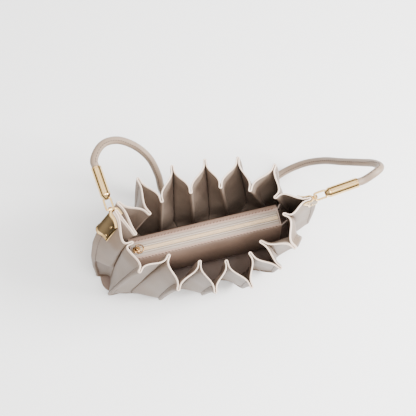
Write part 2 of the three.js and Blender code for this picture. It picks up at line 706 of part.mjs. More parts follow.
// The tube: a square-barred yoke through the knuckle, a tapered nose and a round tube whose far end is
// bored for the strap. Drawn along +X from the middle of the yoke's near bar.
const noseStart = YOKE_LENGTH - YOKE_BAR;
const tubeStart = noseStart + TUBE_TAPER;
const tubeEnd = tubeStart + TUBE_LENGTH;
const boreRadius = STRAP_RADIUS + SEAM_GAP;

function makeTube() {
  const yoke = new THREE.Shape();
  const half = YOKE_WIDTH / 2;
  yoke.moveTo(-YOKE_BAR / 2, -half);
  yoke.lineTo(noseStart + YOKE_BAR / 2, -half);
  yoke.lineTo(noseStart + YOKE_BAR / 2, half);
  yoke.lineTo(-YOKE_BAR / 2, half);
  const gap = new THREE.Path();
  gap.moveTo(YOKE_BAR / 2, -half + YOKE_BAR);
  gap.lineTo(YOKE_BAR / 2, half - YOKE_BAR);
  gap.lineTo(noseStart - YOKE_BAR / 2, half - YOKE_BAR);
  gap.lineTo(noseStart - YOKE_BAR / 2, -half + YOKE_BAR);
  yoke.holes.push(gap);
  const frame = new THREE.ExtrudeGeometry(yoke, { depth: YOKE_BAR, bevelEnabled: false });
  frame.translate(0, 0, -YOKE_BAR / 2);
  const profile = [
    [0, noseStart],
    [TUBE_NOSE, noseStart],
    [TUBE_RADIUS, tubeStart],
    [TUBE_RADIUS, tubeEnd],
    [boreRadius, tubeEnd],
    [boreRadius, tubeEnd - TUBE_SOCKET],
    [0, tubeEnd - TUBE_SOCKET],
  ];
  const points = profile.map(([radius, along]) => new THREE.Vector2(radius, along));
  const round = new THREE.LatheGeometry(points, ROUND_SIDES).rotateZ(-Math.PI / 2);
  return fromSolid(toSolid(frame).add(toSolid(round)));
}

// A screw head on the shown side of a clip, turned to face out of the plate.
function addScrew(end, name, height) {
  const place = placeAlong(end.fold, end.shown * SCREW_REACH);
  const placeBeside = placeAlong(end.fold, end.shown * (SCREW_REACH + SCREW_RADIUS));
  const lift = clipFaces(end.fold).screwMiddle;
  const seat = wallPoint(end.fold, place, height, lift);
  const beside = wallPoint(end.fold, placeBeside, height, lift).sub(seat);
  const below = wallPoint(end.fold, place, height - SCREW_RADIUS, lift).sub(seat);
  const facing = beside.cross(below).normalize().multiplyScalar(-end.shown);
  const head = new THREE.CylinderGeometry(SCREW_RADIUS, SCREW_RADIUS, SCREW_HEIGHT, SCREW_SIDES);
  const screw = addPiece(name, head, paleGold);
  screw.position.copy(seat);
  screw.quaternion.setFromUnitVectors(new THREE.Vector3(0, 1, 0), facing);
}

for (const end of ENDS) {
  const upperDown = (CLIP_HEIGHT - SCREW_SPACING) / 2 / leanOf(end.fold);
  const lowerDown = (CLIP_HEIGHT + SCREW_SPACING) / 2 / leanOf(end.fold);
  addPiece(`${end.side}_clip`, makeClip(end), paleGold);
  addScrew(end, `${end.side}_screw_upper`, clipTop - upperDown);
  addScrew(end, `${end.side}_screw_lower`, clipTop - lowerDown);
  const { centre, angle } = endPlacing(end);
  const tube = addPiece(`${end.side}_tube`, makeTube(), paleGold);
  tube.position.copy(centre);
  tube.rotation.z = angle;
}

// The strap: one rolled leather handle. Its ends sit in the tubes' bores, and its middle lies on the
// ground behind the bag.
function makeStrap() {
  const [left, right] = ENDS.map(endPlacing);
  const lying = STRAP_RADIUS + 2 * SEAM_GAP;
  const along = (place, distance) => place.centre.clone().addScaledVector(place.pointing, distance);
  const inBore = tubeEnd - TUBE_SOCKET + SEAM_GAP;
  const freePoints = STRAP_ROUTE.map((point) => new THREE.Vector3(
    point.x * FOOT_HALF_LENGTH,
    point.y * MOUTH_HALF_DEPTH,
    lying + point.rise * (left.centre.z - lying),
  ));
  const points = [
    along(left, inBore),
    along(left, tubeEnd),
    along(left, tubeEnd + STRAP_STRAIGHT),
    ...freePoints,
    along(right, tubeEnd + STRAP_STRAIGHT),
    along(right, tubeEnd),
    along(right, inBore),
  ];
  const path = new THREE.CatmullRomCurve3(points, false, 'centripetal');
  const section = new THREE.Shape();
  section.absarc(0, 0, STRAP_RADIUS, 0, 2 * Math.PI, false);
  const settings = { steps: STRAP_STEPS, extrudePath: path, curveSegments: STRAP_SIDES / 2 };
  return new THREE.ExtrudeGeometry(section, settings);
}

addPiece('strap', makeStrap(), leather);

export default bag;
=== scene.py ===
import bpy
import numpy as np
from mathutils import Matrix, Vector


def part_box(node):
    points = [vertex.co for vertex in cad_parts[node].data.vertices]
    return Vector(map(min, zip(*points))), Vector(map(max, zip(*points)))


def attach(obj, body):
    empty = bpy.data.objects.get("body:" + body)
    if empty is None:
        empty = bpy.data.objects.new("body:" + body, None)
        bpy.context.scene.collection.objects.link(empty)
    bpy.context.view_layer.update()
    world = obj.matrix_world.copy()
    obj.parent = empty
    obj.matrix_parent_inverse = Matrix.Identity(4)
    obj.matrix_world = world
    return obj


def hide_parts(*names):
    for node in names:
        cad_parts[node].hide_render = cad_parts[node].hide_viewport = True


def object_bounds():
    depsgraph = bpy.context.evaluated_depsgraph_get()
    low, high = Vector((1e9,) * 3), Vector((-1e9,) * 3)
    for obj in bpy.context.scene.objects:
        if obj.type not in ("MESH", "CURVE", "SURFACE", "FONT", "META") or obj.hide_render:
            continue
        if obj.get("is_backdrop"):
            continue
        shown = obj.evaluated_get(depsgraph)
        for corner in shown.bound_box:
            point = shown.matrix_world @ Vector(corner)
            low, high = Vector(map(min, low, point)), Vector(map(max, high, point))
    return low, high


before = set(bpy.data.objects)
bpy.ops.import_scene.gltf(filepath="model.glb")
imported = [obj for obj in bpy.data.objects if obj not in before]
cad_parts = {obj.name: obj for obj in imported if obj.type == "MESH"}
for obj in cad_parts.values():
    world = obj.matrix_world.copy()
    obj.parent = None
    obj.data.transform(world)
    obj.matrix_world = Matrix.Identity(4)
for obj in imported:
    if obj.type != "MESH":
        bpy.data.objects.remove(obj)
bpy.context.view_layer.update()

# Camera. It looks steeply down into the mouth from the front left, a little turned in its own plane, and
# its lens is given by the focal length in pixels of a square picture. Lengths in this file are in
# millimetres, and MM turns them into metres.
MM = 0.001
VIEW_ELEVATION = 75.15
VIEW_AZIMUTH = -22.32
VIEW_ROLL = 8.49
VIEW_TARGET = np.array([5.23, 24.54, 180.0])
VIEW_DISTANCE = 1330.0
FOCAL_PIXELS = 1000.0
PICTURE_PIXELS = 416.0
SENSOR_WIDTH = 36.0

elevation, azimuth, roll = np.radians([VIEW_ELEVATION, VIEW_AZIMUTH, VIEW_ROLL])
level = np.cos(elevation)
back = np.array([np.sin(azimuth) * level, -np.cos(azimuth) * level, np.sin(elevation)])
right = np.array([np.cos(azimuth), np.sin(azimuth), 0.0])
up = np.cross(right, -back)
picture_right = right * np.cos(roll) + up * np.sin(roll)
picture_up = up * np.cos(roll) - right * np.sin(roll)
camera_place = (VIEW_TARGET + back * VIEW_DISTANCE) * MM

lens = bpy.data.cameras.new("camera")
lens.sensor_width = SENSOR_WIDTH
lens.lens = SENSOR_WIDTH * FOCAL_PIXELS / PICTURE_PIXELS
camera = bpy.data.objects.new("camera", lens)
bpy.context.scene.collection.objects.link(camera)
camera_turn = Matrix(np.column_stack([picture_right, picture_up, back]).tolist()).to_4x4()
camera.matrix_world = Matrix.Translation(Vector(camera_place.tolist())) @ camera_turn
bpy.context.scene.camera = camera


# Floor and light. A pale floor without edges in view, a white room that is dark towards its horizon for
# the metal to show, a large soft light above the mouth and one on the right for the right-hand pleats.
def paint(red, green, blue):
    """A colour from its three shares of 255 in the screen's scale, as linear light with alpha 1."""
    shares = np.array([red, green, blue]) / 255
    linear = np.where(shares <= 0.04045, shares / 12.92, ((shares + 0.055) / 1.055) ** 2.4)
    return (*linear.tolist(), 1.0)


def node(tree, kind, inputs=None, **settings):
    """A shader node with its settings made, and its inputs set to values or linked to sockets."""
    made = tree.nodes.new(kind)
    for name, value in settings.items():
        setattr(made, name, value)
    for name, value in (inputs or {}).items():
        if isinstance(value, bpy.types.NodeSocket):
            tree.links.new(value, made.inputs[name])
        else:
            made.inputs[name].default_value = value
    return made


def new_material(name):
    """A new material, its node tree and its surface shader."""
    material = bpy.data.materials.new(name)
    material.use_nodes = True
    return material, material.node_tree, material.node_tree.nodes["Principled BSDF"]


def own_place(tree):
    """Each point's place in its object's own coordinates, in metres."""
    return node(tree, "ShaderNodeTexCoord").outputs["Object"]


def ranged(tree, value, low_result, high_result, low=0.0, high=1.0):
    """A value from low to high brought to between two results, and held there beyond."""
    inputs = {
        "Value": value,
        "From Min": low,
        "From Max": high,
        "To Min": low_result,
        "To Max": high_result,
    }
    return node(tree, "ShaderNodeMapRange", inputs).outputs["Result"]


def grey_bands(tree, share, stops, tint=(1.0, 1.0, 1.0)):
    """A ramp along a share from 0 to 1. The stops, each a place and a brightness, are added to the ramp's
    own black start and white end."""
    bands = node(tree, "ShaderNodeValToRGB", {"Fac": share})
    for stop_at, brightness in stops:
        stop = bands.color_ramp.elements.new(stop_at)
        stop.color = (*(brightness * part for part in tint), 1.0)
    return bands.outputs["Color"]


def soft_light(name, position, aim, size, power):
    """A square area light at a position, turned to shine at a point."""
    lamp = bpy.data.lights.new(name, "AREA")
    lamp.size = size
    lamp.energy = power
    holder = bpy.data.objects.new(name, lamp)
    bpy.context.scene.collection.objects.link(holder)
    direction = Vector(aim) - Vector(position)
    turned = direction.to_track_quat("-Z", "Y").to_matrix().to_4x4()
    holder.matrix_world = Matrix.Translation(Vector(position)) @ turned


FLOOR_REACH = 20.0
FLOOR_WHITE = (0.93, 0.93, 0.93, 1.0)
FLOOR_GLOSS = (0.52, 0.58)
FLOOR_DRIFT = 0.075
# Places up the room, from the horizon to straight above, with their brightness.
ROOM_BANDS = ((0.0, 0.05), (0.4, 0.05), (0.5, 0.8), (0.75, 0.8), (0.86, 2.6), (1.0, 2.6))
ROOM_TINT = (1.0, 0.98, 0.95)
ROOM_STRENGTH = 1.6
LIGHT_AIM = (0.0, 0.0, 0.1)

floor_corners = [(-1, -1), (1, -1), (1, 1), (-1, 1)]
floor_points = [(x * FLOOR_REACH, y * FLOOR_REACH, 0.0) for x, y in floor_corners]
floor_mesh = bpy.data.meshes.new("floor")
floor_mesh.from_pydata(floor_points, [], [(0, 1, 2, 3)])
floor = bpy.data.objects.new("floor", floor_mesh)
bpy.context.scene.collection.objects.link(floor)
floor_paint, floor_tree, floor_shader = new_material("floor_paint")
floor_drift = node(
    floor_tree,
    "ShaderNodeTexNoise",
    {"Vector": own_place(floor_tree), "Scale": FLOOR_DRIFT, "Detail": 2.0},
)
floor_gloss = ranged(floor_tree, floor_drift.outputs["Fac"], *FLOOR_GLOSS)
floor_tree.links.new(floor_gloss, floor_shader.inputs["Roughness"])
floor_shader.inputs["Base Color"].default_value = FLOOR_WHITE
floor_mesh.materials.append(floor_paint)
floor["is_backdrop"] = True

room = bpy.data.worlds.new("room")
bpy.context.scene.world = room
room.use_nodes = True
room_tree = room.node_tree
room_light = room_tree.nodes["Background"]
room_height = node(room_tree, "ShaderNodeSeparateXYZ", {"Vector": own_place(room_tree)}).outputs["Z"]
room_colour = grey_bands(room_tree, room_height, ROOM_BANDS, ROOM_TINT)
room_tree.links.new(room_colour, room_light.inputs["Color"])
room_light.inputs["Strength"].default_value = ROOM_STRENGTH
soft_light("window_top", position=(0.1, -0.35, 1.6), aim=LIGHT_AIM, size=0.8, power=25.0)
soft_light("window_right", position=(1.3, -0.35, 1.15), aim=LIGHT_AIM, size=0.7, power=85.0)


# Pleated wall. One long band of smooth greige leather, about 2.4 mm thick, sewn along its outer folds and
# closed into a ring round the bottom. It is taupe inside, and its cut rim is painted a pale cream.
RIM_HEIGHT = 180.0
MOUTH_HALVES = np.array([133.0, 91.0])
FOOT_HALVES = np.array([164.0, 62.0])
TURN_HEIGHT = 22.0
HEM_HEIGHT = 3.3
HEM_TUCK = 16.0
HEM_CURVE = 1.5
WALL = 2.4
FOLD_GAP = 0.6
TIP_RADIUS = (WALL + FOLD_GAP) / 2
RIM_PINCH, FOOT_PINCH = 4.0, 1.5
RIM_CURL, FOOT_CURL = 0.36, 0.03
LEVELS = np.array([0.0, 0.11, 0.24, 0.48, 0.74, 1.0])
LEVEL_BLUR = 0.04
TIP_STEPS = 6
PANEL_STEPS = 14
WALL_ROWS = 40
HEM_ROWS = 8
RIM_STEPS = 8
# The folds against the clock, outer and inner by turns: each one's place at the rim and at the foot, as
# shares of the mouth's and the foot's halves, and how far it runs ahead on the way down, in x and in y.
FOLDS = [
    dict(name="left_end", rim=(-0.86, 0.555), foot=(-0.985, 0.065), belly=(0.58, 0.32)),
    dict(name="left_front_in", rim=(-0.768, 0.03), foot=(-0.854, -0.065), belly=(0.2, 0.2)),
    dict(name="front_1", rim=(-0.774, -0.426), foot=(-0.921, -0.468), belly=(0.06, 0.06)),
    dict(name="front_1_in", rim=(-0.447, -0.269), foot=(-0.713, -0.45), belly=(0.05, 0.05)),
    dict(name="front_2", rim=(-0.447, -0.811), foot=(-0.488, -0.871), belly=(0.1, 0.1)),
    dict(name="front_2_in", rim=(-0.168, -0.462), foot=(-0.293, -0.63), belly=(0.02, 0.02)),
    dict(name="front_3", rim=(-0.098, -0.976), foot=(-0.11, -1.0), belly=(0.1, 0.1)),
    dict(name="front_3_in", rim=(0.084, -0.547), foot=(0.085, -0.645), belly=(0.02, 0.02)),
    dict(name="front_4", rim=(0.264, -1.025), foot=(0.256, -1.065), belly=(0.1, 0.1)),
    dict(name="front_4_in", rim=(0.329, -0.515), foot=(0.384, -0.55), belly=(0.02, 0.02)),
    dict(name="front_5", rim=(0.592, -0.854), foot=(0.561, -0.86), belly=(0.1, 0.1)),
    dict(name="front_5_in", rim=(0.46, -0.388), foot=(0.616, -0.435), belly=(0.05, 0.05)),
    dict(name="front_6", rim=(0.783, -0.615), foot=(0.835, -0.39), belly=(0.32, 0.36)),
    dict(name="right_front_in", rim=(0.758, -0.071), foot=(0.78, -0.08), belly=(0.2, 0.2)),
    dict(name="right_end", rim=(1.065, 0.06), foot=(0.985, 0.12), belly=(0.42, 0.42)),
    dict(name="right_back_in", rim=(0.716, 0.191), foot=(0.829, 0.419), belly=(0.05, 0.05)),
    dict(name="back_1", rim=(0.815, 0.691), foot=(0.768, 0.758), belly=(0.1, 0.1)),
    dict(name="back_1_in", rim=(0.491, 0.377), foot=(0.646, 0.645), belly=(0.02, 0.02)),
    dict(name="back_2", rim=(0.466, 0.926), foot=(0.488, 0.984), belly=(0.08, 0.08)),
    dict(name="back_2_in", rim=(0.212, 0.526), foot=(0.293, 0.726), belly=(0.02, 0.02)),
    dict(name="back_3", rim=(0.132, 1.009), foot=(0.128, 0.919), belly=(0.08, 0.08)),
    dict(name="back_3_in", rim=(-0.09, 0.551), foot=(-0.03, 0.742), belly=(0.02, 0.02)),
    dict(name="back_4", rim=(-0.207, 1.027), foot=(-0.201, 0.935), belly=(0.08, 0.08)),
    dict(name="back_4_in", rim=(-0.392, 0.518), foot=(-0.341, 0.71), belly=(0.02, 0.02)),
    dict(name="back_5", rim=(-0.574, 0.958), foot=(-0.561, 0.903), belly=(0.1, 0.1)),
    dict(name="back_5_in", rim=(-0.536, 0.379), foot=(-0.762, 0.452), belly=(0.05, 0.05)),
    dict(name="left_back", rim=(-0.82, 0.67), foot=(-0.878, 0.613), belly=(0.2, 0.2)),
    dict(name="left_back_in", rim=(-0.722, 0.132), foot=(-0.866, 0.226), belly=(0.2, 0.2)),
]
fold_names = [fold["name"] for fold in FOLDS]
fold_rim = np.array([fold["rim"] for fold in FOLDS]) * MOUTH_HALVES
fold_foot = np.array([fold["foot"] for fold in FOLDS]) * FOOT_HALVES
fold_belly = np.array([fold["belly"] for fold in FOLDS])
fold_is_outer = np.arange(len(FOLDS)) % 2 == 0


def unit(vectors):
    """Vectors scaled to length 1 along their last axis."""
    return vectors / np.linalg.norm(vectors, axis=-1, keepdims=True)


def ahead_at(down):
    """How far a belly has grown at a share of the way down: 4 (sqrt d - d) at the levels, straight
    between them, and rounded by a short running mean below the clip."""
    reach = LEVEL_BLUR * np.clip(down / LEVELS[1] - 0.5, 0, 1)
    samples = [
        np.interp(np.clip(down + reach * side, 0, 1), LEVELS, 4 * (np.sqrt(LEVELS) - LEVELS))
        for side in (-1, -0.5, 0, 0.5, 1)
    ]
    return np.mean(samples, axis=0)


def fold_frames(down, tuck):
    """Every fold at each share down the wall: the middle of its round tip, the way into the pleat, the
    way across it, and the pinch and curl of the panels there. Arrays are levels by folds by x and y."""
    share = down[:, None, None] + fold_belly * ahead_at(down)[:, None, None]
    plan = fold_rim + (fold_foot - fold_rim) * share
    shorter = HEM_TUCK * tuck[:, None, None] * fold_is_outer[None, :, None]
    plan = plan - unit(plan) * shorter
    before = unit(np.roll(plan, 1, axis=1) - plan)
    after = unit(np.roll(plan, -1, axis=1) - plan)
    inward = unit(before + after)
    across = unit(after - inward * np.sum(after * inward, axis=-1, keepdims=True))
    middle = plan + inward * TIP_RADIUS
    pinch = RIM_PINCH + (FOOT_PINCH - RIM_PINCH) * down
    curl = RIM_CURL + (FOOT_CURL - RIM_CURL) * down
    return middle, inward, across, pinch[:, None, None], curl[:, None, None]


def wall_lines(down, tuck):
    """The middle line of the wall at each level, as points and directions. Each fold gives a half circle
    round its tip and a cubic curve to the next fold, which leaves both folds along their pleats."""
    middle, inward, across, pinch, curl = fold_frames(down, tuck)
    angle = np.pi * (np.linspace(0, 1, TIP_STEPS + 1) - 0.5)[:, None]
    tip = (
        middle[:, :, None]
        - TIP_RADIUS * inward[:, :, None] * np.cos(angle)
        + TIP_RADIUS * across[:, :, None] * np.sin(angle)
    )
    tip_way = inward[:, :, None] * np.sin(angle) + across[:, :, None] * np.cos(angle)
    start = middle + across * TIP_RADIUS + inward * pinch
    end = np.roll(middle - across * TIP_RADIUS + inward * pinch, -1, axis=1)
    pull = np.linalg.norm(end - start, axis=-1, keepdims=True) * curl
    first = start + inward * pull
    second = end + np.roll(inward, -1, axis=1) * pull
    step = np.linspace(0, 1, PANEL_STEPS + 1)[:, None]
    rest = 1 - step
    a, b, c, d = (corner[:, :, None] for corner in (start, first, second, end))
    panel = a * rest**3 + 3 * b * rest**2 * step + 3 * c * rest * step**2 + d * step**3
    panel_way = (b - a) * rest**2 + 2 * (c - b) * rest * step + (d - c) * step**2
    line = np.concatenate([tip, panel], axis=2)
    way = np.concatenate([tip_way, unit(panel_way)], axis=2)
    return line.reshape(len(down), -1, 2), way.reshape(len(down), -1, 2)


def grid_faces(rows, columns, wrap_rows=False, wrap_columns=False):
    """Quads of a grid of points. They face the side where the columns run to the right and the rows up."""
    numbers = np.arange(rows * columns).reshape(rows, columns)
    if wrap_rows:
        numbers = np.vstack([numbers, numbers[:1]])
    if wrap_columns:
        numbers = np.hstack([numbers, numbers[:, :1]])
    corners = numbers[:-1, :-1], numbers[:-1, 1:], numbers[1:, 1:], numbers[1:, :-1]
    return np.stack(corners, axis=-1).reshape(-1, 4)


def new_piece(name, points, faces, materials, body="bag", sharp=None):
    """A mesh object from points in millimetres and faces by number, riding on a body."""
    mesh = bpy.data.meshes.new(name)
    mesh.from_pydata((np.asarray(points).reshape(-1, 3) * MM).tolist(), [], [list(face) for face in faces])
    mesh.polygons.foreach_set("use_smooth", np.ones(len(mesh.polygons), bool))
    for material in materials:
        mesh.materials.append(material)
    if sharp:
        mesh.set_sharp_from_angle(angle=np.radians(sharp))
    mesh.update()
    piece = bpy.data.objects.new(name, mesh)
    bpy.context.scene.collection.objects.link(piece)
    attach(piece, body)
    return piece


def set_numbers(piece, name, values):
    """One number for each point of a piece, for its material to read."""
    numbers = piece.data.attributes.new(name, "FLOAT", "POINT")
    numbers.data.foreach_set("value", np.asarray(values, np.float32).ravel())


def new_group(name, inputs, outputs):
    """An empty node group with number inputs and outputs, and its two end nodes."""
    group = bpy.data.node_groups.new(name, "ShaderNodeTree")
    for socket_name, value in inputs.items():
        socket = group.interface.new_socket(
            name=socket_name, in_out="INPUT", socket_type="NodeSocketFloat"
        )
        socket.default_value = value
    for socket_name in outputs:
        group.interface.new_socket(name=socket_name, in_out="OUTPUT", socket_type="NodeSocketFloat")
    return group, group.nodes.new("NodeGroupInput"), group.nodes.new("NodeGroupOutput")


def math_node(tree, operation, *values):
    """The result of one sum on sockets or numbers."""
    return node(tree, "ShaderNodeMath", dict(enumerate(values)), operation=operation).outputs["Value"]


def mixed(tree, share, first, second, blend_type="MIX"):
    """The colour at a share of the way between two. A Mix node takes its colours at the inputs 6 and 7,
    and gives the result at its output 2."""
    made = node(
        tree,
        "ShaderNodeMix",
        {"Factor": share, 6: first, 7: second},
        data_type="RGBA",
        blend_type=blend_type,
    )
    return made.outputs[2]


def leather_grain_group():
    """Fine pebbles and pores as a height, and slow cloudiness as a tone from 0 to 1."""
    group, start, end = new_group(
        "leather_grain", {"Pebbles per metre": 1500.0, "Clouds per metre": 22.0}, ["Height", "Tone"]
    )
    place = own_place(group)
    pebbles = node(
        group,
        "ShaderNodeTexVoronoi",
        {"Vector": place, "Scale": start.outputs["Pebbles per metre"]},
        feature="SMOOTH_F1",
    )
    pores = node(
        group,
        "ShaderNodeTexNoise",
        {"Vector": place, "Scale": start.outputs["Pebbles per metre"], "Detail": 3.0},
    )
    clouds = node(
        group,
        "ShaderNodeTexNoise",
        {"Vector": place, "Scale": start.outputs["Clouds per metre"], "Detail": 4.0, "Roughness": 0.55},
    )
    height = math_node(group, "ADD", pebbles.outputs["Distance"], pores.outputs["Fac"])
    group.links.new(height, end.inputs["Height"])
    group.links.new(clouds.outputs["Fac"], end.inputs["Tone"])
    return group


leather_grain = leather_grain_group()

CLOUD_RANGE = (0.3, 0.7)
CONVEX_RANGE = (0.52, 0.6)
WORN_TONE = (232, 222, 212)
# The dark brown that the outside is mixed towards below the crease: painted shade.
CREASE_SHADE_COLOUR = (100, 80, 65)
GLOSS_DRIFT = 0.06
GRAIN_STRENGTH = 0.6


def leather(name, light, dark, roughness, grain_depth, edge_wear=0.0, has_painted_shade=False):
    """A leather: its colour drifts between two close tones, its grain is a bump, and its gloss drifts with
    the tone. With edge_wear it pales a little where the surface is nearly convex, and where the points'
    own number for shade is set it deepens towards a dark brown: painted shade below a crease."""
    material, tree, shader = new_material(name)
    grain = node(tree, "ShaderNodeGroup", node_tree=leather_grain)
    tone = ranged(tree, grain.outputs["Tone"], 0.0, 1.0, *CLOUD_RANGE)
    colour = mixed(tree, tone, paint(*dark), paint(*light))
    if edge_wear:
        convex = node(tree, "ShaderNodeNewGeometry").outputs["Pointiness"]
        worn = ranged(tree, convex, 0.0, edge_wear, *CONVEX_RANGE)
        colour = mixed(tree, worn, colour, paint(*WORN_TONE))
    if has_painted_shade:
        shade = node(tree, "ShaderNodeAttribute", attribute_name="shade").outputs["Fac"]
        colour = mixed(tree, shade, colour, paint(*CREASE_SHADE_COLOUR))
    gloss = ranged(tree, grain.outputs["Tone"], roughness - GLOSS_DRIFT, roughness + GLOSS_DRIFT)
    bump = node(
        tree,
        "ShaderNodeBump",
        {
            "Height": grain.outputs["Height"],
            "Distance": grain_depth * MM,
            "Strength": GRAIN_STRENGTH,
        },
    )
    tree.links.new(colour, shader.inputs["Base Color"])
    tree.links.new(gloss, shader.inputs["Roughness"])
    tree.links.new(bump.outputs["Normal"], shader.inputs["Normal"])
    return material


# The outside leather takes the painted shade below the crease.
wall_outside = leather("wall_outside", (120, 101, 85), (110, 92, 77), 0.5, 0.05, has_painted_shade=True)
wall_inside = leather("wall_inside", (130, 112, 98), (110, 94, 82), 0.6, 0.07)
# Cream edge paint on the rim, also laid on the top of both faces, where it is partly a painted highlight.
rim_paint_and_highlight = leather("rim_paint_and_highlight", (226, 204, 186), (210, 188, 170), 0.42, 0.02)

# Levels of the wall from the rim down, closer near the rim, with the tuck of the hem at the end of them.
ROW_CROWDING = 1.25
straight_down = np.linspace(0, 1, WALL_ROWS + 1) ** ROW_CROWDING
hem_share = np.linspace(0, 1, HEM_ROWS + 1)[1:]
wall_down = np.concatenate([straight_down, np.ones(HEM_ROWS)])
wall_tuck = np.concatenate([np.zeros(WALL_ROWS + 1), hem_share**HEM_CURVE])
wall_heights = np.concatenate(
    [
        RIM_HEIGHT - straight_down * (RIM_HEIGHT - TURN_HEIGHT),
        TURN_HEIGHT - hem_share * (TURN_HEIGHT - HEM_HEIGHT),
    ]
)
wall_line, wall_way = wall_lines(wall_down, wall_tuck)
wall_normal = np.stack([wall_way[..., 1], -wall_way[..., 0]], axis=-1)
line_steps = TIP_STEPS + PANEL_STEPS + 2
column = np.arange(wall_line.shape[1])
column_fold = column // line_steps
column_share = np.clip((column % line_steps - TIP_STEPS) / (PANEL_STEPS + 1), 0, 1)
height_grid = np.broadcast_to(wall_heights[:, None], wall_line.shape[:2])

# Slow waves of worked leather in each panel, none of them at the folds, and the crease under the left
# end's front panel, below which the leather turns in towards the bottom. Below the crease the colour is
# darkened as painted shade.
WAVE_DEPTH = 0.55
WAVE_START = 25.0
LONG_WAVE, LONG_SHIFT = 17.0, 2.4
SHORT_WAVE, SHORT_SHIFT, SHORT_SHARE = 9.5, 1.1, 0.7
WAVE_SLANT = 4.0
CREASE_HEIGHT = 90.0
CREASE_RUN = 7.0
CREASE_DEPTH = 4.5
BULGE_DEPTH, BULGE_RISE, BULGE_SPREAD = 2.0, 6.0, 16.0
CREASE_SHADE = 0.75
swell = np.sin(np.pi * column_share)
long_waves = np.sin(height_grid / LONG_WAVE + column_fold * LONG_SHIFT)
short_waves = np.sin(height_grid / SHORT_WAVE + column_share * WAVE_SLANT + column_fold * SHORT_SHIFT)
wave_share = swell * np.clip((RIM_HEIGHT - height_grid) / WAVE_START, 0, 1)
waves = WAVE_DEPTH * (long_waves + SHORT_SHARE * short_waves) * wave_share
is_creased = column_fold == fold_names.index("left_end")
below_crease = np.clip((CREASE_HEIGHT - height_grid) / CREASE_RUN, 0, 1)
bulge = np.exp(-(((height_grid - CREASE_HEIGHT - BULGE_RISE) / BULGE_SPREAD) ** 2))
crease = (BULGE_DEPTH * bulge - CREASE_DEPTH * below_crease) * np.sqrt(swell) * is_creased
wall_line = wall_line + wall_normal * (waves + crease)[..., None]


def wall_surface(offset, rows, heights):
    """Points at an offset from the wall's middle line, for chosen rows of it, at given heights."""
    flat = wall_line[rows] + wall_normal[rows] * np.asarray(offset)[:, None, None]
    tall = np.broadcast_to(np.asarray(heights)[:, None, None], (*flat.shape[:2], 1))
    return np.concatenate([flat, tall], axis=-1)


# The wall's two faces and its rim. The cut edge is pared a little thinner than the wall and rounded.
RIM_EDGE = 1.9
PARED_DEPTH = 6.0
all_rows = np.arange(len(wall_heights))
pared = np.clip(1 - (RIM_HEIGHT - wall_heights) / PARED_DEPTH, 0, 1)
half_wall = (WALL + (RIM_EDGE - WALL) * pared) / 2
round_angle = np.linspace(0, np.pi, RIM_STEPS + 1)[1:-1]
side_heights = wall_heights.copy()
side_heights[0] = RIM_HEIGHT - RIM_EDGE / 2
outside = wall_surface(half_wall, all_rows, side_heights)
inside = wall_surface(-half_wall, all_rows, side_heights)
rim = wall_surface(
    -np.cos(round_angle) * RIM_EDGE / 2,
    np.zeros(len(round_angle), int),
    RIM_HEIGHT - RIM_EDGE / 2 + np.sin(round_angle) * RIM_EDGE / 2,
)
wall_points = np.concatenate([rim, outside, inside[::-1]])
wall_faces = grid_faces(wall_points.shape[0], wall_points.shape[1], True, True)[:, ::-1]
pleated_wall = new_piece(
    "pleated_wall_leather", wall_points, wall_faces, [wall_outside, rim_paint_and_highlight, wall_inside]
)
rim_rows = len(round_angle)
side_rows = len(all_rows)
# The rim's cream also covers the top row of faces on both sides: partly the edge paint lapping over,
# partly a painted highlight along the rim.
row_material = np.full(wall_points.shape[0], 1, np.int32)
row_material[rim_rows + 1 : rim_rows + side_rows] = 0
row_material[rim_rows + side_rows : rim_rows + 2 * side_rows - 2] = 2
pleated_wall.data.polygons.foreach_set("material_index", np.repeat(row_material, wall_points.shape[1]))
# Painted shade below the crease of the left end's panel: how far its colour goes to the dark brown.
shade = CREASE_SHADE * below_crease * np.clip(swell * 4, 0, 1) * is_creased
set_numbers(pleated_wall, "shade", np.concatenate([0 * shade[:rim_rows], shade, 0 * shade]))
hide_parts("pleated_wall")

# Fold stitches. A row of taupe thread sewn through both layers beside each outer fold, so that the pleat
# stays sharp. Each stitch is a short rounded stick that lies on the leather.
STITCH_PITCH = 4.2
STITCH_LENGTH = 3.0
STITCH_RADIUS = 0.42
STITCH_MARGIN = 8.0
STICK_SIDES = 6
STICK_ALONG = np.array([-0.5, -0.42, 0.42, 0.5])
STICK_WIDE = np.array([0.35, 1.0, 1.0, 0.35])
TWISTS_PER_METRE, TWIST_DEPTH, TWIST_GROOVE_SHADE = 900.0, 0.1, 0.86


def stitches(name, middles, ways, outs, length, radius, material, body="bag"):
    """Rounded sticks at given middles, along given ways, half sunk into a face with given normals."""
    along = STICK_ALONG * length
    wide = STICK_WIDE * radius
    angle = np.arange(STICK_SIDES) * 2 * np.pi / STICK_SIDES
    sides = unit(np.cross(ways, outs))
    tops = np.cross(sides, ways)
    points = (
        middles[:, None, None]
        + ways[:, None, None] * along[:, None, None]
        + sides[:, None, None] * (wide[:, None] * np.cos(angle))[..., None]
        + tops[:, None, None] * (wide[:, None] * np.sin(angle))[..., None]
    )
    count = len(along) * STICK_SIDES
    one = grid_faces(len(along), STICK_SIDES, wrap_columns=True)
    faces = (one[None] + np.arange(len(middles))[:, None, None] * count).reshape(-1, 4)
    caps = np.stack([np.arange(STICK_SIDES)[::-1], np.arange(STICK_SIDES) + count - STICK_SIDES])
    caps = (caps[None] + np.arange(len(middles))[:, None, None] * count).reshape(-1, STICK_SIDES)
    return new_piece(name, points, [*faces.tolist(), *caps.tolist()], [material], body)


